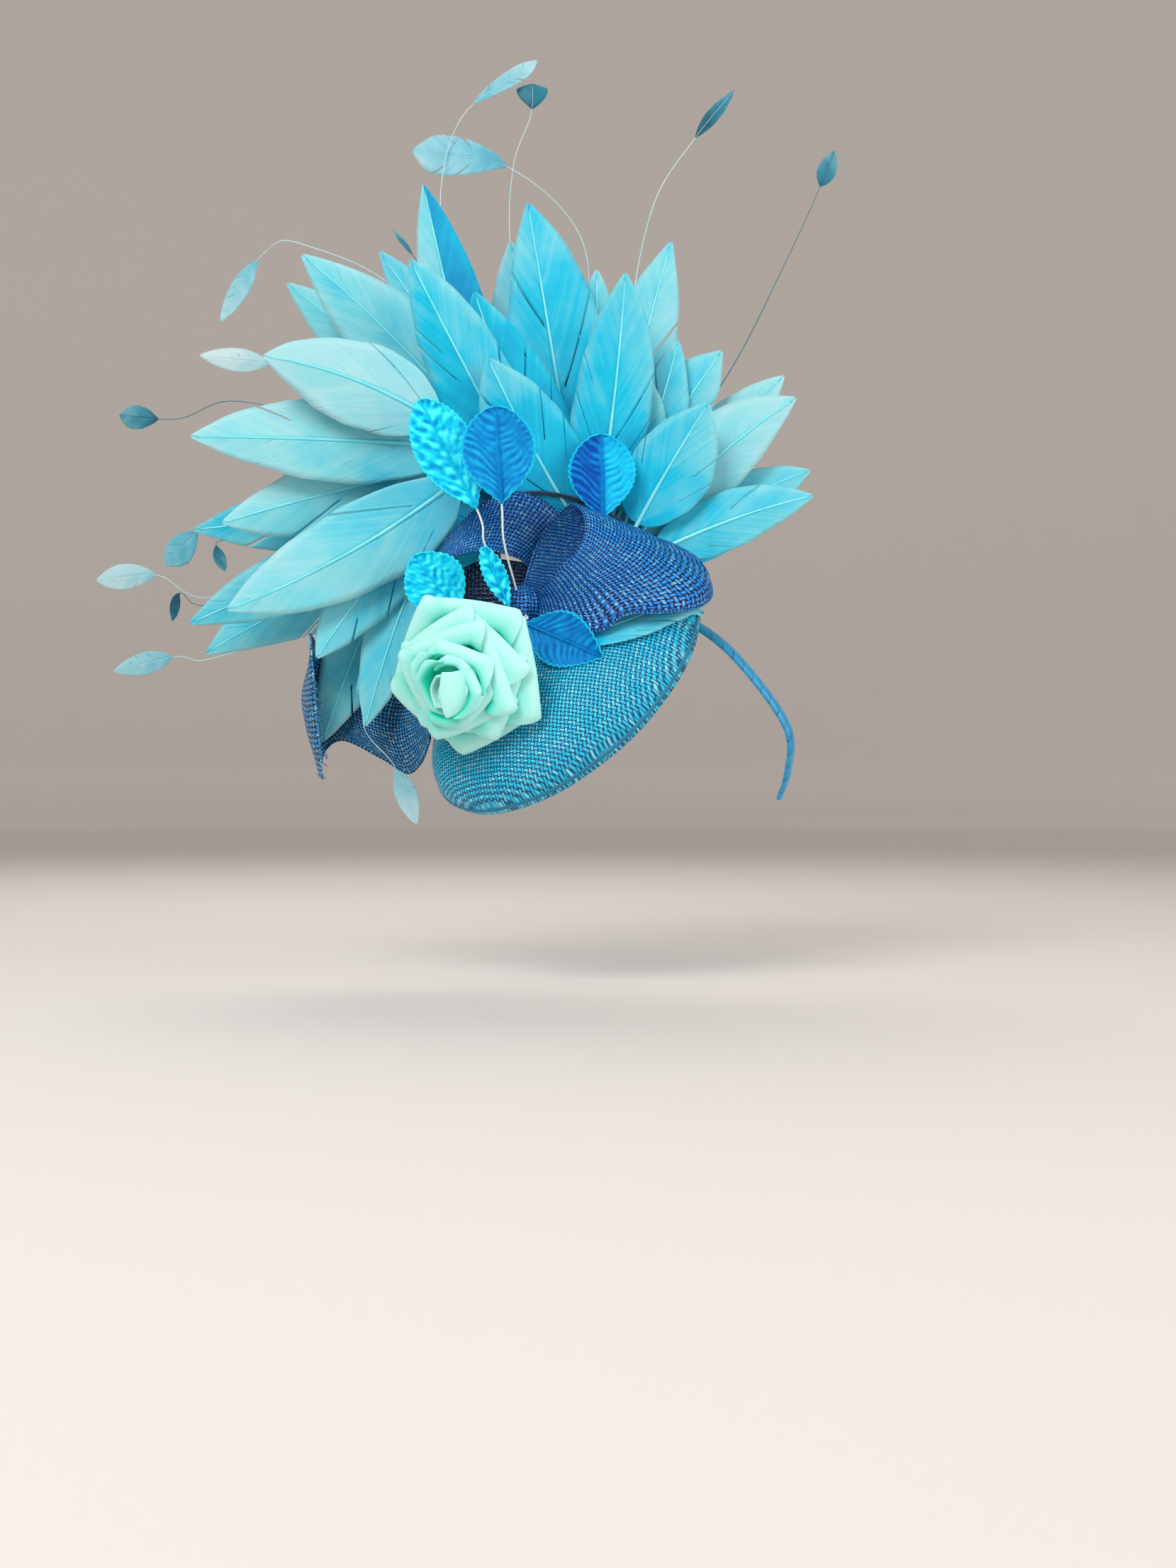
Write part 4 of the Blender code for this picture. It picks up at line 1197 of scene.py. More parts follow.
FEATHERS: tuple[Feather, ...] = (
    Feather("left_1", 1, 0.415, (-223, 88), 40, -3, 0.22, splits=1, root=(-80, 86)),
    Feather("left_2", 2, 0.385, (-210, 45), 38, -4, 0.28, root=(-84, 78)),
    Feather("left_2_back", 4, 0.375, (-231, 45), 38, -10, 0.45),
    Feather("left_3", 0, 0.335, (-202, -4), 42, 10, 0.24, splits=1, root=(-80, 70)),
    Feather("left_3_back", 3, 0.345, (-230, -8), 38, -14, 0.45),
    Feather("left_3_low", 5, 0.325, (-227, -22), 42, -18, 0.40),
    Feather("left_4", 0, 0.435, (-183, 128), 40, -12, 0.12, splits=1, root=(-90, 95)),
    Feather("left_5", 5, 0.450, (-182, 185), 40, -12, 0.36),
    Feather("left_6", 3, 0.480, (-169, 192), 46, -14, 0.32),
    Feather("left_6_side", 4, 0.500, (-137, 184), 36, -8, 0.50),
    Feather("left_6_back", 6, 0.505, (-132, 207), 36, -6, 0.40),
    Feather("left_7", 1, 0.515, (-108, 183), 40, 2, 0.60),
    Feather("left_8", 3, 0.535, (-103, 230), 36, 2, 0.30, splits=1, shaded=0.68,
            root=(-62, 58)),
    Feather("middle_1", 2, 0.575, (-75, 170), 42, 6, 0.74, root=(-26, 56)),
    Feather("middle_2", 0, 0.600, (-67, 131), 42, 3, 0.62, root=(-21, 47)),
    Feather("top_1_back", 5, 0.585, (-57, 208), 38, 4, 0.34),
    Feather("top_1", 4, 0.610, (-47, 225), 50, 0, 0.55, root=(-19, 56)),
    Feather("top_2_back", 5, 0.690, (-9, 192), 34, -2, 0.42),
    Feather("top_2", 1, 0.715, (6, 177), 38, -3, 0.52),
    Feather("top_3", 4, 0.735, (32, 204), 37, 3, 0.34),
    Feather("top_3_front", 2, 0.760, (18, 126), 34, 0, 0.50),
    Feather("top_4", 3, 0.800, (59, 141), 38, 2, 0.46, root=(4, 58)),
    Feather("right_1_back", 4, 0.860, (94, 130), 34, 6, 0.14),
    Feather("right_1", 2, 0.855, (98, 113), 38, 8, 0.16),
    Feather("right_2", 0, 0.840, (50, 107), 40, 2, 0.55),
    Feather("right_3_back", 3, 0.915, (107, 76), 30, 7, 0.42),
    Feather("right_3", 1, 0.925, (106, 59), 28, 6, 0.44),
    Feather("extra_top", 2.6, 0.775, (35, 146), 30, -5, 0.40, False),
    Feather("extra_low", 2.3, 0.290, (-139, -46), 28, -8, 0.36, False),
    Feather("extra_side", 4.4, 0.465, (-158, 166), 38, -10, 0.36, False),
    Feather("fill_1", 5.6, 0.625, (-44, 150), 44, 0, 0.75, False),
    Feather("fill_2", 5.8, 0.675, (-18, 146), 44, 0, 0.75, False),
    Feather("fill_3", 5.6, 0.735, (12, 140), 42, -2, 0.70, False),
    Feather("fill_4", 5.2, 0.835, (58, 108), 40, -4, 0.62, False),
    Feather("fill_5", 5.2, 0.905, (78, 72), 36, -4, 0.60, False),
    Feather("fill_6", 5.4, 0.360, (-172, 14), 44, -10, 0.62, False),
    Feather("fill_7", 5.4, 0.470, (-138, 130), 44, 4, 0.62, False),
    Feather("short_1", 2.5, 0.600, (-50, 88), 36, 0, 0.74, False, root=(-33, 42)),
    Feather("short_2", 2.5, 0.660, (-20, 96), 38, 0, 0.70, False, root=(-16, 40)),
    Feather("short_3", 2.5, 0.760, (14, 92), 38, -2, 0.66, False, root=(2, 30)),
    Feather("short_4", 2.5, 0.860, (50, 66), 36, -2, 0.60, False, root=(10, 12)),
    Feather("low_1", 1, 0.315, (-158, -28), 33, -4, 0.40, root=(-98, 54)),
    Feather("low_2", 3, 0.275, (-158, -72), 34, -6, 0.36, root=(-108, 44)),
    Feather("low_3", 1.6, 0.255, (-133, -64), 30, -6, 0.36, root=(-93, 50)),
)


@dataclass
class UnderFeather:
    """The short feather that lies on the dome below the front loop."""

    start: tuple[float, float] = (10.0, -15.0)
    end: tuple[float, float] = (75.0, -34.0)
    bow: float = -5.0
    lift: float = 1.05
    rise: float = 1.5

    def build(self, dome: Dome) -> Object:
        """Builds the feather on the dome's face.

        Args:
            dome: the dome.

        Returns:
            The piece.
        """
        draw = random.Random("under")
        start, end = np.array(self.start), np.array(self.end)
        way = end - start
        middle = start + way * 0.5 + unit(np.array((-way[1], way[0]))) * self.bow
        line = Line((start, middle, end))

        def surface(x: np.ndarray, y: np.ndarray, lateral: np.ndarray) -> np.ndarray:
            """Lifts flat points off the dome's face."""
            out = np.hypot(x - start[0], y - start[1]) / line.length
            return dome.point(x, y, self.lift + self.rise * out + 0.05 * lateral)

        patches = Vane(24.0, widest=0.5, splits=5, ragged=0.03).patches(line, surface, draw, 0.5)
        flat = line.at(np.linspace(0.0, 0.97, 24))
        spine = surface(flat[:, 0], flat[:, 1], np.zeros(len(flat)))
        patches.append(tube(spine, np.linspace(0.8, 0.2, 24), 8, material=1))
        piece = build_piece("plume_under", patches, [dress(Finish.VANE), dress(Finish.SHAFT)])
        return settle(piece, "plume", "feather_under")


@dataclass
class Wisp:
    """A stripped quill with a leaf of vane left at its tip."""

    shift: float
    width: float
    vane: float
    route: tuple
    roll: float = 0.2
    tone: float = 0.3
    dark: bool = False
    widest: float = 0.45
    ragged: float = 0.03
    splits: int = 0
    rise: float = 0.8
    pale_stem: bool = False

    def patches(self, start: np.ndarray, surface: Callable[[np.ndarray, np.ndarray], np.ndarray],
                draw: random.Random) -> list[Patch]:
        """Builds the bare stem and its tip.

        Args:
            start: where the stem starts, in the trim's plane.
            surface: gives the depth of points of the trim's plane.
            draw: random numbers.

        Returns:
            The stem's patch and the webs' patches.
        """
        line = Line([tuple(start)] + [tuple(point) for point in self.route])
        share = np.linspace(0.0, 0.995, 90)
        flat = line.at(share)
        deep = surface(flat[:, 0], flat[:, 1])
        path = np.stack((flat[:, 0], deep, flat[:, 1]), axis=-1)
        stem = 3 if self.dark and not self.pale_stem else 2
        made = [tube(path, 0.44 - 0.24 * share, 6, material=stem)]
        first = 1.0 - self.vane / line.length
        tip = Line(line.at(np.linspace(first, 1.0, 12)))

        def lifted(x: np.ndarray, y: np.ndarray, lateral: np.ndarray) -> np.ndarray:
            """Rolls the web a little out of the plane."""
            return np.stack((x, surface(x, y) + self.roll * lateral, y), axis=-1)

        vane = Vane(self.width, bare=0.0, widest=self.widest, ragged=self.ragged, rows=44,
                    columns=6, splits=self.splits, sweep=0.9, rise=self.rise)
        made += vane.patches(tip, lifted, draw, self.tone, 1 if self.dark else 0)
        return made


@dataclass
class Spray:
    """A spray of stripped quills, bound with thread behind the fan."""

    name: str
    seat: float
    wisps: tuple[Wisp, ...]
    depth: float = 36.6
    lean: float = 0.2
    radius: float = 5.2
    coils: int = 7                    # turns of thread round the quills
    thread: float = 0.75              # the thread's radius, in mm

    def build(self, fan: Fan) -> Object:
        """Builds the spray with its binding.

        Args:
            fan: the arch and the layers.

        Returns:
            The piece.
        """
        draw = random.Random(self.name)
        seat, outward = fan.seat(self.seat)
        middle = seat + outward * 2.0
        patches: list[Patch] = []
        for wisp in self.wisps:
            def surface(x: np.ndarray, y: np.ndarray, shift: float = wisp.shift) -> np.ndarray:
                """Gives the depth of the wisp's own plane."""
                return self.depth + self.lean * np.hypot(x - middle[0], y - middle[1]) - shift

            patches += wisp.patches(middle, surface, draw)
        turn = np.linspace(0.0, math.tau * self.coils, 170)
        share = turn / turn[-1]
        swell = self.radius * (0.55 + 0.45 * np.sin(share * math.pi))
        coil = np.stack((middle[0] + np.cos(turn) * swell * 0.9,
                         self.depth + np.sin(turn) * swell * 0.9,
                         middle[1] + (share - 0.5) * 2.0 * self.radius * 0.85), axis=-1)
        patches.append(tube(coil, self.thread, 6, material=4, facing=(0.0, 0.0, 1.0)))
        core = np.stack((np.full(9, middle[0]), np.full(9, self.depth),
                         middle[1] + np.linspace(-1, 1, 9) * self.radius * 0.9), axis=-1)
        patches.append(tube(core, self.radius * 0.75 * np.sin(np.linspace(0.35, 2.79, 9)), 10,
                            material=4))
        piece = build_piece(self.name + "_quills", patches,
                            [dress(Finish.WISP_VANE), dress(Finish.SHADE_VANE),
                             dress(Finish.STEM), dress(Finish.DARK_STEM),
                             dress(Finish.THREAD)])
        return settle(piece, "quills", self.name)


SPRAYS: tuple[Spray, ...] = (
    Spray("spray_left", 0.420, (
        Wisp(3.5, 14, 42, ((-164, 126), (-177, 141), (-192, 144), (-236, 151)), tone=0.0),
        Wisp(1.2, 14, 24, ((-154, 106), (-215, 124), (-248, 115), (-284, 118)), dark=True,
             tone=0.55, widest=0.62),
        Wisp(-1.2, 17, 27, ((-154, 65), (-221, 55), (-238, 49), (-256, 31)), tone=0.55,
             widest=0.6),
        Wisp(3.6, 15, 36, ((-154, 34), (-229, 12), (-260, 25), (-297, 23)), tone=0.15,
             widest=0.55),
        Wisp(1.2, 6, 17, ((-154, 30), (-229, 8), (-247, 15), (-252, -1)), dark=True, tone=0.8),
        Wisp(-1.4, 7, 16, ((-154, 49), (-218, 45), (-226, 42), (-221, 27)), dark=True, tone=0.5),
        Wisp(-3.6, 13, 37, ((-154, 3), (-229, -22), (-251, -21), (-289, -29)), tone=0.3),
    )),
    Spray("spray_top", 0.540, (
        Wisp(-3.2, 12, 42, ((-113, 178), (-177, 216), (-201, 212), (-226, 172)), tone=0.3),
        Wisp(3.0, 10, 46, ((-82, 178), (-98, 230), (-87, 288), (-43, 324)), tone=0.30,
             widest=0.70, splits=1),
        Wisp(1.0, 25, 56, ((-18, 149), (-17, 214), (-58, 258), (-115, 270)), tone=0.42,
             widest=0.70, splits=2, ragged=0.06),
        Wisp(-1.2, 18, 16, ((-57, 199), (-57, 258), (-47, 291), (-46, 311)), dark=True, tone=0.7,
             widest=0.80, rise=1.0, pale_stem=True),
        Wisp(-3.4, 3, 20, ((-82, 168), (-101, 188), (-114, 208), (-126, 224)), dark=True, tone=0.5),
    )),
    Spray("spray_right", 0.800, (
        Wisp(1.6, 8, 38, ((9, 157), (23, 235), (48, 278), (71, 308)), dark=True, tone=0.6,
             pale_stem=True),
        Wisp(-1.6, 11, 24, ((65, 137), (98, 202), (119, 248), (129, 273)), dark=True, tone=0.5),
    )),
)


@dataclass
class LowWisp:
    """The single stripped quill that hangs below the low loop."""

    seat: float = 0.235
    layer: float = 2.4
    route: tuple = ((-110.0, -10.0), (-135.0, -58.0), (-118.0, -85.0), (-106.0, -116.0))

    def build(self, fan: Fan) -> Object:
        """Builds the quill.

        Args:
            fan: the arch and the layers.

        Returns:
            The piece.
        """
        draw = random.Random("low")
        wisp = Wisp(0.0, 12, 32, self.route, tone=0.15)
        patches = wisp.patches(fan.foot(self.seat),
                               lambda x, y: fan.depth(x, y, self.layer), draw)
        piece = build_piece("wisp_low_quill", patches,
                            [dress(Finish.WISP_VANE), dress(Finish.SHADE_VANE),
                             dress(Finish.STEM), dress(Finish.DARK_STEM)])
        return settle(piece, "quills", "wisp_low")


@dataclass
class FeltArch:
    """The stiff felt strip inside, with the threads that bind the quills to it."""

    width: float = 37.0
    middle_depth: float = 12.5
    wall: float = 2.2
    stitch: float = 1.3               # how far a stitch stands out, in mm
    thread: float = 0.3               # the thread's radius, in mm

    def build(self, fan: Fan) -> Object:
        """Builds the strip and its stitches.

        Args:
            fan: the arch and the layers.

        Returns:
            The piece.
        """
        share = eased(90, 0.004)
        across = eased(12, 0.02)
        spots = fan.arch.at(share * 0.93 + 0.04)
        deep = self.middle_depth + (across - 0.5) * self.width
        points = grid(spots[:, None, 0], deep[None], spots[:, None, 1])
        uv = grid(share[:, None] * 0.2, deep[None] * MM)
        place = grid(share[:, None], across[None])
        patches = [Patch(points.copy(), uv, place,
                         thickness=soft_edges(90, 12, self.wall, 0.4))]
        for feather in FEATHERS:
            if not feather.node:
                continue
            spot, outward = fan.seat(feather.seat)
            way = fan.arch.way(feather.seat)
            rear = fan.depth(*fan.foot(feather.seat), feather.layer)
            loop = []
            for turn in np.linspace(0.0, 4.0 * math.pi, 33):
                lift = math.sin(turn) * self.stitch + self.wall / 2.0 + 0.5
                slide = math.cos(turn) * 1.5
                place_up = spot + outward * lift + way * slide
                loop.append((place_up[0], rear + 1.2 + turn * 0.12, place_up[1]))
            patches.append(tube(np.array(loop), self.thread, 6, material=1,
                                facing=(0.0, 0.3, 1.0)))
        piece = build_piece("felt_arch", patches, [dress(Finish.FELT), dress(Finish.THREAD)])
        return settle(piece, "felt", "feather_arch")


# Ribbon

@dataclass
class Ribbon:
    """A length of open straw ribbon with rolled hems."""

    name: str
    node: str
    flat: tuple[float, float]
    finish: Finish
    steps: int = 90
    columns: int = 30
    thickness: float = 0.9
    hem: float = 0.9
    wrinkle: float = 0.25

    def build(self, place: Callable[[float, float], np.ndarray], held: str,
              rests_on: list[str]) -> Object:
        """Builds the ribbon from its surface.

        Args:
            place: gives the ribbon's point at shares along and across it.
            held: how the cloth is held; not used.
            rests_on: what it rests on; not used.

        Returns:
            The piece.
        """
        along = eased(self.steps, 0.006)
        across = eased(self.columns, 0.012)
        points = np.array([[place(a, b) for b in across] for a in along])
        normal = grid_normals(points)
        wave = (np.sin(along[:, None] * 23.0 + across[None] * 5.0)
                * np.sin(across[None] * 9.0 + 1.3))
        points = points + normal * (wave * self.wrinkle)[..., None]
        width, length = self.flat
        uv = grid(along[:, None] * length * MM, across[None] * width * MM)
        share = grid(along[:, None], across[None])
        patches = [Patch(points, uv, share, thickness=self.thickness)]
        for edge in (0, -1):
            patches.append(tube(points[:, edge], self.hem, 8, facing=(0.1, -1.0, 0.2)))
        piece = build_piece(self.name, patches, [dress(self.finish)])
        settle(piece, "ribbon", self.node)
        area = sum(polygon.area for polygon in piece.data.polygons) / 2.0
        log.info("%s: share of the flat area %.3f", self.name, area / (width * length * MM * MM))
        return piece


def lerp(first: Iterable, second: Iterable, share: float) -> np.ndarray:
    """Returns the point at a share of the way between two points."""
    return np.asarray(first, float) * (1.0 - share) + np.asarray(second, float) * share


@dataclass
class Loops:
    """The knot on the dome, its loops of wide ribbon and its tuck."""

    knot_radius: float = 11.5
    knot_along: float = 11.4
    knot_across: float = 17.8
    gap: float = 0.3
    alongs: tuple = (0.0, 0.19, 0.25, 0.31, 0.41, 0.50, 0.60, 0.75, 1.0)
    lows: tuple = (-30.0, -24.0, -8.0, -5.0, -1.0, 5.0, 15.0, 26.0, 32.0)
    highs: tuple = (36.0, 40.0, 40.0, 43.0, 53.0, 62.0, 67.0, 76.0, 86.0)
    acrosses: tuple = (0.0, 0.07, 0.29, 0.58, 0.79, 1.0)
    reaches: tuple = (99.5, 98.8, 82.0, 67.7, 63.0, 59.5)
    bulges: tuple = (38.0, 38.0, 31.0, 27.0, 25.0, 23.0)
    far_bulge: float = 10.0
    back: tuple = (
        (-101.0, -18.0, -6.0, -103.0, -13.0, -3.0),
        (-99.0, -20.0, 4.0, -100.0, -14.0, 8.0),
        (-92.0, -23.0, 20.0, -95.0, -10.5, 23.0),
        (-80.0, -25.0, 27.0, -85.0, -8.9, 40.0),
        (-66.0, -24.0, 28.5, -70.0, -8.3, 54.0),
        (-56.0, -20.0, 27.0, -54.0, -8.1, 61.0),
        (-48.0, -14.5, 24.0, -36.0, -8.1, 55.0),
        (-43.0, -12.2, 17.0, -27.0, -8.3, 42.0),
        (-43.5, -12.6, 12.0, -32.0, -9.0, 22.0),
    )
    low: tuple = (
        (-96.0, -8.0, -43.0, -97.5, -12.0, -70.0),
        (-103.0, 14.0, -34.0, -104.0, 2.0, -83.0),
        (-116.0, 24.0, -31.0, -112.0, 11.0, -88.0),
        (-134.0, 25.0, -31.0, -126.0, 18.0, -80.0),
        (-150.0, 25.0, -29.0, -147.0, 20.0, -70.0),
        (-160.0, 17.0, -25.0, -157.0, 14.0, -76.0),
        (-161.0, 3.0, -19.0, -158.0, 2.0, -88.0),
        (-161.0, -12.0, -15.0, -155.0, -9.0, -91.0),
    )
    tuck: tuple = (
        (-80.0, -7.6, 20.0, -80.0, -7.6, -3.0),
        (-70.0, -9.3, 24.0, -71.0, -9.3, -9.0),
        (-58.0, -11.2, 24.0, -60.0, -11.2, -8.0),
        (-40.0, -13.0, 21.0, -43.0, -12.6, -2.0),
    )
    low_belly: float = 12.0
    loose_threads: int = 26
    loose_radius: float = 0.3
    pleats: int = 9
    pleat_depth: float = 0.05

    def knot_centre(self, dome: Dome) -> np.ndarray:
        """Returns the middle of the knot."""
        return dome.point(np.array(self.knot_along), np.array(self.knot_across),
                          self.knot_radius + self.gap)

    def between(self, table: tuple, belly: float = 0.0) -> Callable[[float, float], np.ndarray]:
        """Spans a ribbon between its two hems.

        Args:
            table: rows with a point of each hem.
            belly: how far the middle swells, in mm.

        Returns:
            A surface for Ribbon.build.
        """
        one = Line([row[:3] for row in table])
        two = Line([row[3:] for row in table])

        def place(along: float, across: float) -> np.ndarray:
            """Gives a point between the hems.

            Args:
                along: the share of the ribbon's length.
                across: the share of its width.

            Returns:
                The point in mm.
            """
            swell = math.sin(math.pi * across) * max(math.sin(math.pi * along), 0.0) ** 0.6
            point = lerp(one.at(along), two.at(along), across)
            return point + np.array((-belly * swell, 0.0, 0.0))

        return place

    def front(self, dome: Dome) -> Callable[[float, float], np.ndarray]:
        """Shapes the fan-like front loop.

        Args:
            dome: the dome.

        Returns:
            A surface for Ribbon.build.
        """
        centre = self.knot_centre(dome)
        start = self.knot_radius * 0.6
        low_line = Line(list(zip(self.alongs, self.lows)))
        high_line = Line(list(zip(self.alongs, self.highs)))

        def place(along: float, across: float) -> np.ndarray:
            """Gives a point of the fan, out and back once along the ribbon.

            Args:
                along: the share of the ribbon's length.
                across: the share of its width.

            Returns:
                The point in mm.
            """
            low = float(np.interp(along, low_line.points[:, 0], low_line.points[:, 1]))
            high = float(np.interp(along, high_line.points[:, 0], high_line.points[:, 1]))
            angle = math.radians(low + (high - low) * across)
            reach = float(np.interp(across, self.acrosses, self.reaches))
            bulge = float(np.interp(across, self.acrosses, self.bulges))
            turn = math.tau * along
            out = start + (reach - start) * (1.0 - math.cos(turn)) / 2.0
            swell = math.sin(turn) * max(math.sin(turn / 2.0), 0.0) ** 0.5
            if swell < 0.0:
                bulge = self.far_bulge
            forward = bulge * swell + 3.0 * math.sin(turn / 2.0)
            return centre + np.array((out * math.cos(angle), -forward, out * math.sin(angle)))

        return place

    def fray(self) -> None:
        """Builds the loose threads at the low loop's free end."""
        draw = random.Random("fray")
        place = self.between(self.low, self.low_belly)
        patches = []
        for number in range(self.loose_threads):
            root = place(1.0, 0.25 + 0.75 * number / self.loose_threads)
            way = np.array((draw.uniform(-0.1, 0.9), -1.0, draw.uniform(-0.9, 0.3)))
            turn = np.array((draw.uniform(-0.5, 0.5), 0.2, draw.uniform(-0.9, -0.1)))
            reach = draw.uniform(3.0, 8.0)
            share = np.linspace(0.0, 1.0, 9)[:, None]
            path = root + (way * share + turn * share ** 2 * 0.7) * reach
            patches.append(tube(path, self.loose_radius, 6, facing=(0.2, 0.3, 1.0)))
        piece = build_piece("low_loop_threads", patches, [dress(Finish.LOW_STRAW)])
        settle(piece, "ribbon")

    def build(self, dome: Dome) -> None:
        """Builds the knot, the loops and the tuck.

        Args:
            dome: the dome that they sit on.
        """
        centre = self.knot_centre(dome)
        polar = np.linspace(0.05, math.pi - 0.05, 26)
        angle = np.linspace(0.0, math.tau, 49)
        round_it = np.sin(polar)[:, None]
        pleats = 1.0 + self.pleat_depth * np.sin(angle * self.pleats + 0.7)[None] * round_it ** 2
        ball = grid(round_it * np.cos(angle)[None], round_it * np.sin(angle)[None],
                    np.cos(polar)[:, None])
        points = centre + ball[::-1] * (self.knot_radius * 0.97 * pleats)[..., None]
        uv = grid(polar[:, None] * 0.011, angle[None] * 0.011)
        place = grid(polar[:, None] / math.pi, angle[None] / 6.3)
        knot = build_piece("knot_pleats", [Patch(points, uv, place, caps=True)],
                           [dress(Finish.LOOP_STRAW)])
        settle(knot, "ribbon", "ribbon_knot")
        Ribbon("front_loop", "loop_front", (62.0, 160.0), Finish.LOOP_STRAW, 130, 44).build(
            self.front(dome), "folded", ["knot_pleats"])
        Ribbon("back_loop", "loop_back", (34.0, 110.0), Finish.LOOP_STRAW, 80, 22).build(
            self.between(self.back), "folded", ["knot_pleats"])
        Ribbon("low_loop", "loop_low", (60.0, 125.0), Finish.LOW_STRAW, 90, 34).build(
            self.between(self.low, self.low_belly), "folded", ["dome_weave"])
        self.fray()
        # the tuck wears the straw that is painted in deep shadow
        Ribbon("dark_tuck", "ribbon_tuck", (32.0, 40.0), Finish.SHADOWED_STRAW, 24, 16).build(
            self.between(self.tuck), "folded", ["knot_pleats"])


# Rose

@dataclass(frozen=True)
class PetalSize:
    """One petal: its place about the rose's axis and its profile."""

    name: str
    angle: float
    half_span: float
    corner: float
    foot: float
    reach: float
    foot_height: float
    lip_height: float
    band: float
    lap: float
    node: bool


@dataclass(frozen=True)
class Ring:
    """A ring of petals: the sizes that they share, and a row for each."""

    name: str
    side: float                       # how many degrees of each side bend back
    foot: float
    foot_height: float
    band: float
    lap: float
    rows: tuple                       # angle, half span, reach, lip height, has a node

    def petals(self) -> list[PetalSize]:
        """Returns the ring's petals, numbered from 1."""
        return [PetalSize(f"petal_{self.name}_{number}", angle, half_span, half_span - self.side,
                          self.foot, reach, self.foot_height, lip_height, self.band, self.lap, node)
                for number, (angle, half_span, reach, lip_height, node) in enumerate(self.rows, 1)]


RINGS: tuple[Ring, ...] = (
    Ring("outer", 18, 19, 4, 8.5, 4.0, (
        (84, 52, 36.5, 26, True), (156, 52, 37.0, 25, True), (230, 52, 37.5, 24, True),
        (8, 54, 36.5, 27, True), (300, 52, 36.5, 25, False))),
    Ring("second", 16, 15, 5, 8.5, 3.6, (
        (48, 54, 29.5, 32, False), (122, 54, 29.5, 32, False), (196, 54, 29.0, 31, False),
        (268, 54, 29.0, 31, False), (338, 54, 29.5, 32, False))),
    Ring("middle", 17, 14, 6, 6.5, 3.4, (
        (22, 62, 25.0, 35.5, True), (112, 62, 25.0, 35.5, True), (205, 62, 25.0, 35.5, True),
        (294, 62, 25.0, 35.5, False))),
    Ring("inner", 48, 12, 6, 4.0, 4.4, (
        (75, 84, 19.6, 40, True), (195, 84, 19.6, 39.5, True), (315, 84, 19.6, 39, False))),
    Ring("core", 70, 9, 6, 2.8, 4.2, (
        (30, 104, 15.2, 43.5, False), (200, 104, 15.2, 42.5, False))),
)


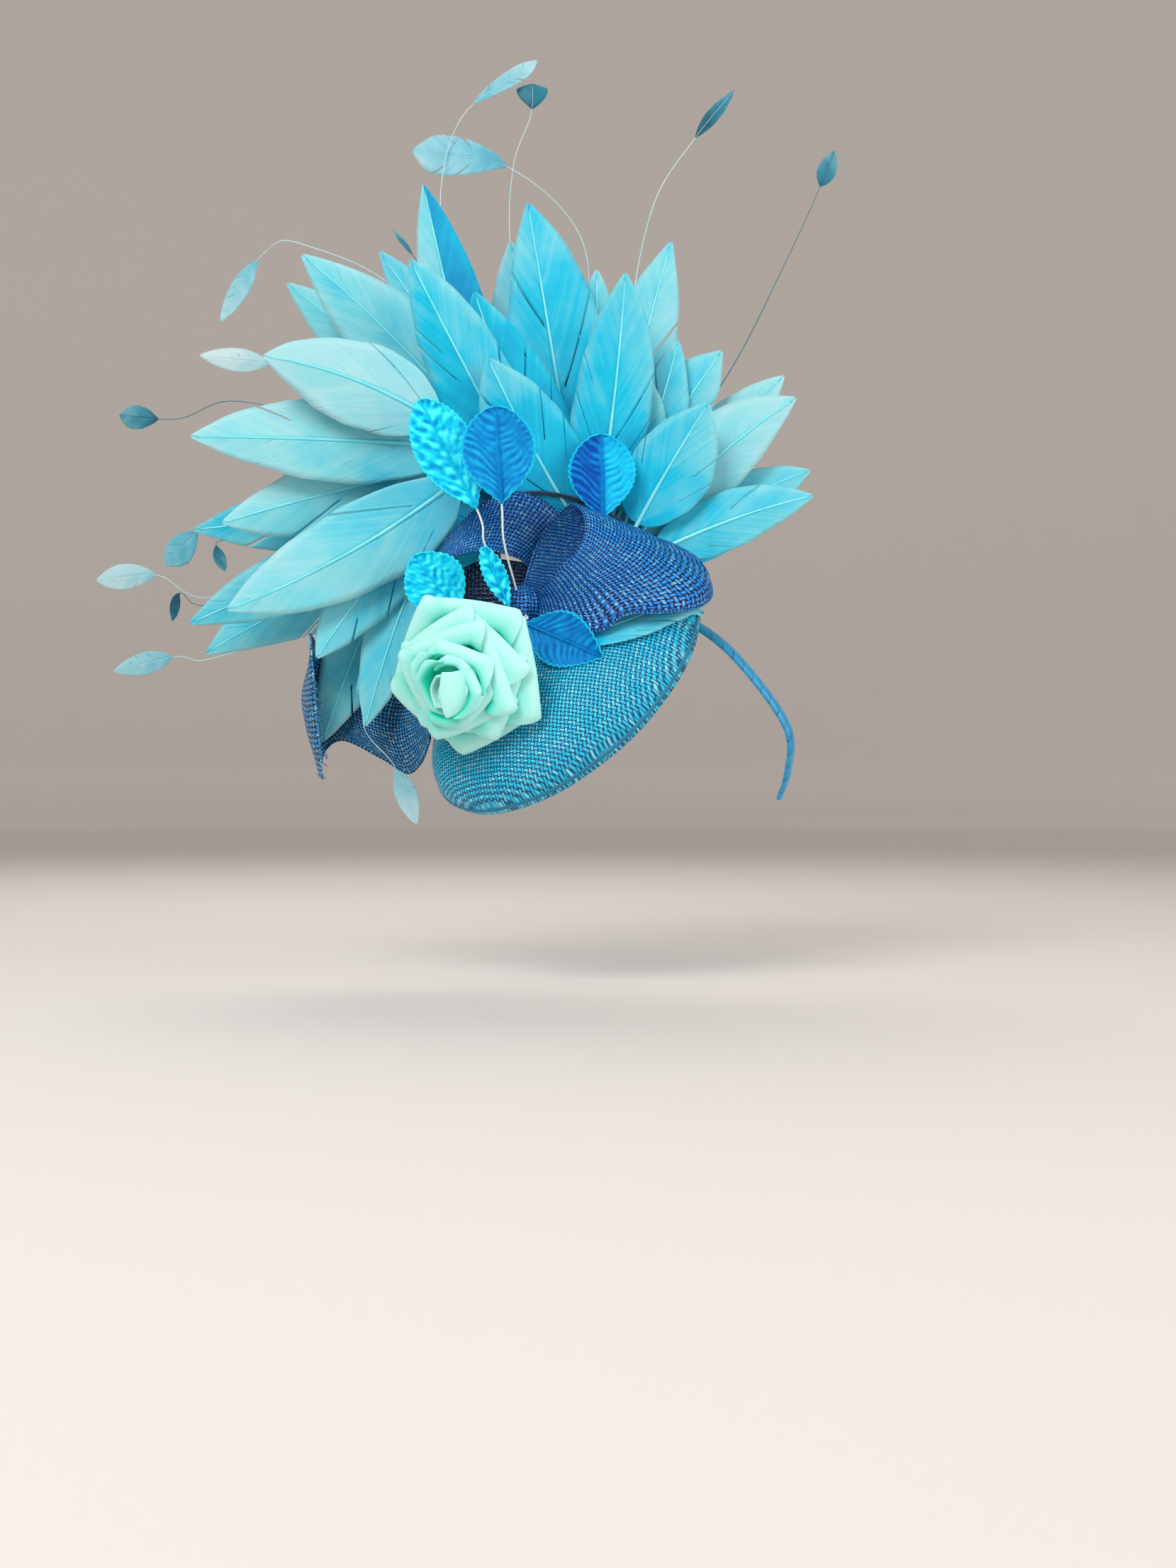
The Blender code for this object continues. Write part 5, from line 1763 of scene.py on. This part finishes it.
@dataclass
class Rose:
    """The foam rose: a rolled heart and rings of petals with folded rims."""

    centre: tuple[float, float, float] = (-76.0, -65.0, -38.5)
    axis: tuple[float, float, float] = (-0.30, -0.92, -0.24)
    depth: float = 27.0
    foam: float = 1.35
    rim: float = 26.0
    sag: tuple[float, float] = (-0.22, -0.30)
    heart_turns: float = 1.7
    heart_start: float = 2.4          # where the roll starts, in radians
    heart_core: float = 1.4
    heart_growth: float = 8.4
    heart_foot: float = 14.0
    heart_top: float = 45.0
    heart_crimp: float = 1.4
    heart_foam: float = 1.5
    stem: tuple = ((-22.0, 4.2), (-10.0, 4.2), (0.0, 4.4), (4.0, 9.0), (8.0, 18.0), (14.0, 20.5),
                   (22.0, 19.5), (30.0, 17.0), (35.0, 15.0), (38.5, 11.0))
    stem_pale: float = 16.0           # below this height the stem is pale; above it, where it shows between the petals, it takes painted shade
    bud_width: float = 14.8
    bud_half_height: float = 11.5
    bud_top: float = 48.3
    bud_fall: float = 9.5

    def frame(self) -> tuple[np.ndarray, np.ndarray]:
        """Works out the rose's own frame.

        Returns:
            The foot in mm, and right, up and axis as rows.
        """
        axis = unit(np.array(self.axis))
        right = np.array((1.0, 0.0, 0.0))
        right = unit(right - axis * (right @ axis))
        up = np.cross(axis, right)
        return np.array(self.centre) - axis * self.depth, np.stack((right, up, axis))

    def nod(self, local: np.ndarray) -> np.ndarray:
        """Moves points of the rose's own frame aside with their height above the rim."""
        above = np.maximum(local[..., 2:] - self.rim, 0.0)
        return local + above * np.array((*self.sag, 0.0))

    def petal(self, size: PetalSize) -> Object:
        """Builds one petal.

        Args:
            size: the petal's sizes.

        Returns:
            The piece.
        """
        foot, turn = self.frame()
        draw = random.Random(size.name)
        rows, columns = 34, 41
        s = np.concatenate((np.linspace(0.0, 0.97, rows - 2), [0.99, 1.0]))[:, None]
        t = eased(columns, 0.012)[None]
        offset = (t * 2.0 - 1.0) * size.half_span
        past = np.clip((np.abs(offset) - size.corner) / (size.half_span - size.corner), 0.0, 1.0)
        used = s * (1.0 - 0.42 * past)
        straight = 1.0 / np.cos(np.radians(np.minimum(np.abs(offset), size.corner)))
        straight = straight ** 0.78 * (1.0 - 0.03 * past)
        wall_end = 0.64
        lip = size.reach - size.band
        wall = np.clip(used / wall_end, 0.0, 1.0)
        fold = np.clip((used - wall_end) / (1.0 - wall_end), 0.0, 1.0)
        radius = size.foot + (lip - size.foot) * wall ** 2.2 + size.band * np.sin(
            0.5 * math.pi * fold) ** 0.9
        radius = radius * (1.0 + (straight - 1.0) * smooth(used * 1.3))
        height = (size.foot_height
                  + (size.lip_height - size.foot_height) * np.sin(0.5 * math.pi * wall)
                  - 3.4 * (1.0 - np.cos(0.5 * math.pi * fold)))
        bend = np.clip(np.abs(offset) / size.corner, 0.0, 1.2) ** 6
        height = height - 1.5 * bend * smooth((used - 0.6) / 0.4)
        height = height + size.lap * (0.5 - t)
        radius = radius + size.lap * (0.5 - t) * 0.8
        wave = draw.uniform(0.0, 6.3)
        height = height + 0.4 * np.sin(np.radians(offset) * 3.0 + wave) * smooth(used)
        angle = np.radians(size.angle + offset + np.zeros_like(used))
        local = grid(radius * np.cos(angle), radius * np.sin(angle), height)
        points = foot + self.nod(local) @ turn
        uv = grid(used * 0.04, np.radians(offset) * 0.03)
        # the place map sets the foam's colour: down the wall it takes the deep green of painted shade
        place = np.stack((np.broadcast_to(used, radius.shape),
                          np.broadcast_to(t, radius.shape)), axis=-1)
        wall_thick = soft_edges(rows, columns, self.foam, 0.7)
        patch = Patch(points, uv, place, thickness=wall_thick)
        piece = build_piece("foam_" + size.name, [patch], [dress(Finish.FOAM)])
        return settle(piece, "foam", *([size.name] if size.node else []))

    def bud(self) -> Patch:
        """Folds one smooth petal over the right of the rolled heart.

        Returns:
            Its patch.
        """
        foot, turn = self.frame()
        rows, columns = 30, 28
        rise = eased(rows, 0.02)[:, None] * 2.0 - 1.0
        across = eased(columns, 0.02)[None]
        free_rim = -0.4 + 2.4 * ((rise - 0.3) / 1.3) ** 2
        width = self.bud_width * np.sqrt(1.0 - ((rise - 0.35) / 1.38) ** 2)
        height = self.bud_top - 1.2 * rise ** 2 - self.bud_fall * across ** 2.4
        local = grid(free_rim + width * across, self.bud_half_height * rise - 0.8, height)
        uv = grid(rise * 0.012, across * 0.014)
        # painted shade: the bud turns deep green where it falls away at its far side
        place = grid(0.9 - 0.38 * across ** 2 + 0.0 * rise, across)
        return Patch(foot + self.nod(local) @ turn, uv, place,
                     thickness=soft_edges(rows, columns, self.foam, 0.7))

    def heart(self) -> Object:
        """Builds the rolled heart with its stem.

        Returns:
            The piece.
        """
        foot, turn = self.frame()
        rows, columns = 26, 150
        s = eased(rows, 0.02)[:, None]
        roll = np.linspace(0.0, 1.0, columns)[None]
        angle = roll * math.tau * self.heart_turns + self.heart_start
        radius = self.heart_core + self.heart_growth * roll ** 1.1 * (0.8 + 0.2 * s)
        bumps = 1.0 - np.abs(np.sin(angle * 1.5))
        top = self.heart_top - 1.5 * roll + self.heart_crimp * bumps ** 2
        height = self.heart_foot + (top - self.heart_foot) * s
        flare = smooth((s - 0.75) / 0.25)
        radius = radius + 1.1 * flare + 1.2 * bumps ** 2 * flare
        local = grid(radius * np.cos(angle), radius * np.sin(angle), height)
        points = foot + self.nod(local) @ turn
        uv = grid(s * 0.04, roll * 0.08)
        # painted shade: the roll is deep green part way up, down among the petals
        place = grid(0.2 + 0.7 * s, roll)
        patches = [Patch(points, uv, place, thickness=soft_edges(rows, columns, self.heart_foam, 0.5))]
        heights, widths = np.array(self.stem).T
        stem = foot + self.nod(grid(0.0, 0.0, heights)) @ turn
        body = tube(stem, widths, 24, facing=(1.0, 0.0, 0.0))
        # painted shade: above stem_pale the body, seen between the petals, takes the deep green of the
        # folds
        body.place[..., 0] = np.where(heights < self.stem_pale, 0.95, 0.44)[:, None]
        patches += [body, self.bud()]
        piece = build_piece("foam_heart", patches, [dress(Finish.FOAM)])
        return settle(piece, "foam", "rose_heart")

    def build(self) -> None:
        """Builds the whole rose."""
        self.heart()
        for ring in RINGS:
            for size in ring.petals():
                self.petal(size)


# Leaves

class Stamp(Enum):
    """How a leaf's cloth is stamped."""

    CRINKLED = "crinkled"
    RIBBED = "ribbed"


@dataclass
class Leaf:
    """A velvet leaf on a paper-wrapped wire."""

    name: str
    finish: Finish
    slot: str
    width: float
    tip: tuple[float, float, float]
    foot: tuple[float, float, float]
    wire: tuple
    stamp: Stamp
    on_knot: bool = True
    fullness: float = 0.6
    widest: float = 0.9
    halves: float = 0.0               # how much lighter the right half is
    lightness: float = 0.0
    point: float = 0.5                # how pointed the foot is
    tooth: float = 3.0
    tooth_depth: float = 1.0
    stamped: float = 0.30             # how deep the stamp is, in mm
    rib_pitch: float = 4.0
    creases: int = 9
    level: float = 0.637              # the mean height of a crease's wave
    cloth: float = 0.7
    wire_radius: float = 0.55

    def build(self, knot: np.ndarray, knot_radius: float) -> Object:
        """Builds the blade, its midrib and its wire.

        Args:
            knot: the middle of the ribbon knot.
            knot_radius: the knot's radius.

        Returns:
            The piece.
        """
        draw = random.Random(self.name)
        wire = [np.array(point, float) for point in self.wire]
        if self.on_knot:
            wire[-1] = knot + unit(wire[-1] - knot) * (knot_radius + 0.9)
        path = Line([self.tip, self.foot] + wire)
        blade_share = float(np.linalg.norm(np.array(self.tip) - np.array(self.foot)) / path.length)
        length = path.length * blade_share
        rows, columns = 96, 29
        along = np.linspace(0.004, 1.0, rows)
        across = eased(columns, 0.02) * 2.0 - 1.0
        spots = path.at(along * blade_share)
        way = path.way(along * blade_share)
        facing = np.array((0.0, -1.0, 0.0))
        side = unit(np.cross(way, facing))
        teeth = np.abs((along * length / self.tooth) % 1.0 - 0.5) * 2.0
        shape = np.sin(math.pi * along ** self.widest) ** self.fullness
        shape = shape * np.maximum(1.0 - along ** 5, 0.0) ** self.point
        half = self.width / 2.0 * np.maximum(shape, 0.03) - self.tooth_depth * teeth
        half = np.maximum(half, 0.4)
        lateral = half[:, None] * across[None]
        distance = np.abs(lateral)
        run = along[:, None] * length
        if self.stamp is Stamp.RIBBED:
            warp = 0.8 * np.sin(run * 0.31 + 1.0) + 0.9 * np.sin(lateral * 0.5 + run * 0.12)
            ribs = np.sin((run + distance * 0.75 + warp) * math.tau / self.rib_pitch)
            patchy = 0.65 + 0.35 * np.sin(run * 0.23 + lateral * 0.35 + draw.uniform(0, 6))
            relief = self.stamped * ribs * patchy * smooth(distance / 3.0)
        else:
            relief = np.zeros(lateral.shape)
            warp = 1.3 * np.sin(run * 0.45 + lateral * 0.6 + draw.uniform(0, 6))
            for _ in range(self.creases):
                heading, phase = draw.uniform(-1.0, 1.0), draw.uniform(0, 6)
                pitch = draw.uniform(3.2, 8.0)
                wave = (math.cos(heading) * (run + 0.7 * distance) + math.sin(heading) * lateral
                        + warp * draw.uniform(-1.0, 1.0)) * math.pi / pitch
                crease = self.level - np.abs(np.sin(wave + phase))
                relief += self.stamped * crease * pitch / 6.0
            relief = relief * smooth(distance / 1.5 + 0.3)
        groove = -0.7 * np.exp(-(distance / 0.9) ** 2)
        cupped = 0.05 * self.width * (1.0 - across[None] ** 2)
        lift = relief + groove - cupped + 0.8 * np.sin(along * 5.0)[:, None] * across[None] ** 2
        points = spots[:, None] + side[:, None] * lateral[..., None] + facing * lift[..., None]
        uv = grid(run * MM, lateral * MM)
        place = grid(along[:, None], (across[None] + 1.0) / 2.0)
        # painted highlight and shade: the tone follows the relief, lighter on the ridges and darker in
        # the valleys
        tone = 0.5 + self.lightness + 0.9 * relief + self.halves * np.tanh(lateral / 3.0)
        patches = [Patch(points, uv, place, tone=tone, thickness=self.cloth)]
        rib = path.at(np.linspace(0.04, 1.0, 60) * blade_share) + facing * 0.1
        patches.append(tube(rib, np.linspace(0.25, 0.6, 60), 6, tone=0.4))
        stem = path.at(np.linspace(blade_share * 0.97, 1.0, 50))
        patches.append(tube(stem, self.wire_radius, 8, material=1))
        piece = build_piece("velvet_" + self.name, patches,
                            [dress(self.finish), dress(Finish.WIRE)])
        return settle(piece, self.slot, self.name)


LEAVES: tuple[Leaf, ...] = (
    Leaf("leaf_bright", Finish.BRIGHT_VELVET, "velvet_light", 33, (-101, -42, 104), (-71, -44, 47),
         ((-67, -42, 29), (-55.8, -32.6, 6.8)), Stamp.CRINKLED),
    Leaf("leaf_round", Finish.BLUE_VELVET, "velvet_dark", 40, (-61, -52, 99), (-58, -50, 49),
         ((-57, -46, 30), (-51.3, -35.4, 7.1)), Stamp.RIBBED),
    Leaf("leaf_right", Finish.TWO_TONE_VELVET, "velvet_dark", 37, (-7, -15, 91), (-6, -14, 46),
         ((-8, -14, 34), (-13.5, -17.4, 10.6)), Stamp.RIBBED, on_knot=False, halves=-0.3),
    Leaf("leaf_left", Finish.BRIGHT_VELVET, "velvet_light", 34, (-105, -29, 25), (-80, -27, -6),
         ((-76, -27, -7), (-60.9, -27.2, -2.5)), Stamp.CRINKLED, fullness=0.7),
    Leaf("leaf_narrow", Finish.BRIGHT_VELVET, "velvet_light", 13, (-68, -46, 28), (-54, -42, -4),
         ((-53.4, -40.5, -3.8), (-52.8, -38.9, -3.5)), Stamp.CRINKLED),
    Leaf("leaf_dark", Finish.BLUE_VELVET, "velvet_dark", 31, (-6, -60, -30), (-47, -45, -11),
         ((-45, -41, -9), (-45.8, -38.0, -7.8)), Stamp.RIBBED, fullness=0.72, widest=1.2,
         lightness=-0.15),
)


# Pad

@dataclass
class Pad:
    """The felt pad between the dome and the band, at the solid's size."""

    solid: str = "stitch_pad"
    bevel: float = 0.8 * MM
    segments: int = 3
    weld: float = 0.01 * MM           # corners this near each other are one

    def build(self) -> Object:
        """Builds the pad from a copy of its solid.

        Returns:
            The piece.
        """
        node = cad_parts[self.solid]
        piece = node.copy()
        piece.data = node.data.copy()
        piece.name = "felt_pad"
        for key in list(piece.keys()):
            del piece[key]
        bpy.context.scene.collection.objects.link(piece)
        piece.parent = None
        bpy.ops.object.select_all(action="DESELECT")
        piece.select_set(True)
        bpy.context.view_layer.objects.active = piece
        bpy.ops.object.mode_set(mode="EDIT")
        bpy.ops.mesh.select_all(action="SELECT")
        bpy.ops.mesh.remove_doubles(threshold=self.weld)
        bpy.ops.mesh.tris_convert_to_quads()
        bpy.ops.object.mode_set(mode="OBJECT")
        bevel = piece.modifiers.new("soft", "BEVEL")
        bevel.width = self.bevel
        bevel.segments = self.segments
        bevel.limit_method = "ANGLE"
        bpy.ops.object.modifier_apply(modifier=bevel.name)
        piece.data.materials.clear()
        piece.data.materials.append(dress(Finish.FELT))
        return settle(piece, "felt", self.solid)


# Stage

@dataclass
class Stage:
    """The floor, the backdrop, the lights and the camera."""

    turn: float = TRIM_TURN
    distance: float = 1.1
    lens: float = 47.11
    across: float = -13.87
    up: float = -94.24
    floor: float = -0.20
    radius: float = 2.6               # of the paper sweep
    wall: float = 3.0
    cove: float = 0.4                 # how wide the bend between floor and wall is
    paper: str = "#D9D3CF"
    room: str = "#E8E6E4"
    room_strength: float = 0.62
    lights: tuple = (                 # name, watts, side, then right, toward and up
        ("key", 21.0, 0.8, -0.7, 1.3, 1.1),
        ("fill", 12.0, 1.2, 1.2, 1.0, 0.35),
        ("rear", 9.0, 0.8, -0.3, -0.9, 1.2),
    )

    def build(self) -> None:
        """Sets up the stage."""
        right = Vector((math.cos(self.turn), math.sin(self.turn), 0.0))
        toward = Vector((math.sin(self.turn), -math.cos(self.turn), 0.0))
        camera = bpy.data.cameras.new("view")
        camera.sensor_fit = "VERTICAL"
        camera.sensor_height = 36.0
        camera.lens = self.lens
        camera.clip_start = 0.02
        eye = bpy.data.objects.new("view", camera)
        eye.matrix_world = Matrix(((right.x, 0.0, toward.x, 0.0), (right.y, 0.0, toward.y, 0.0),
                                   (0.0, 1.0, 0.0, 0.0), (0.0, 0.0, 0.0, 1.0)))
        eye.location = (toward * self.distance + right * self.across * MM
                        + Vector((0.0, 0.0, self.up * MM)))
        bpy.context.scene.collection.objects.link(eye)
        bpy.context.scene.camera = eye
        self.cyclorama()
        for name, power, size, aside, near, high in self.lights:
            self.light(name, power, size, right * aside + toward * near + Vector((0, 0, high)))
        world = bpy.data.worlds.new("soft_room")
        world.use_nodes = True
        fill(world.node_tree, world.node_tree.nodes["Background"],
             {0: linear(self.room), 1: self.room_strength})
        bpy.context.scene.world = world
        bpy.context.scene.view_settings.view_transform = "Standard"

    def cyclorama(self) -> None:
        """Builds one pale sheet: a round floor that rises to a wall behind."""
        flat, upright = 20, 12
        radius = np.concatenate((np.linspace(0.0001, self.radius, flat),
                                 np.full(upright, self.radius)))
        height = np.concatenate((np.zeros(flat), np.linspace(0.1, self.wall, upright)))
        bend = np.clip((radius - self.radius + self.cove) / self.cove, 0.0, 1.0) ** 2 * 0.05
        angle = np.linspace(0.0, math.tau, 73)[None]
        points = grid(radius[:, None] * np.cos(angle), radius[:, None] * np.sin(angle),
                      (height + bend + self.floor)[:, None]) / MM
        uv = np.zeros(points.shape[:2] + (2,))
        material, tree, shader = start_material("matt_paper")
        fill(tree, shader, {"Base Color": linear(self.paper), "Roughness": 0.9})
        build_piece("paper_sweep", [Patch(points, uv, uv)], [material], world=True)

    def light(self, name: str, power: float, size: float, place: Vector) -> None:
        """Adds one square soft light that looks at the trim.

        Args:
            name: the light's name.
            power: its watts.
            size: its side in metres.
            place: where it stands.
        """
        lamp = bpy.data.lights.new(name, "AREA")
        lamp.energy = power
        lamp.size = size
        holder = bpy.data.objects.new(name, lamp)
        holder.location = place
        aim = Vector((-0.05, -0.02, 0.05)) - place
        holder.rotation_euler = aim.to_track_quat("-Z", "Y").to_euler()
        bpy.context.scene.collection.objects.link(holder)


def main() -> None:
    """Builds the fascinator and its stage."""
    logging.basicConfig(level=logging.INFO, format="%(message)s")
    Stage().build()
    dome = Dome()
    dome.build()
    Band().build()
    Pad().build()
    fan = Fan()
    FeltArch().build(fan)
    for feather in FEATHERS:
        feather.build(fan)
    UnderFeather().build(dome)
    for spray in SPRAYS:
        spray.build(fan)
    LowWisp().build(fan)
    loops = Loops()
    loops.build(dome)
    Rose().build()
    for leaf in LEAVES:
        leaf.build(loops.knot_centre(dome), loops.knot_radius)
    bpy.context.view_layer.update()


if __name__ == "__main__":
    main()
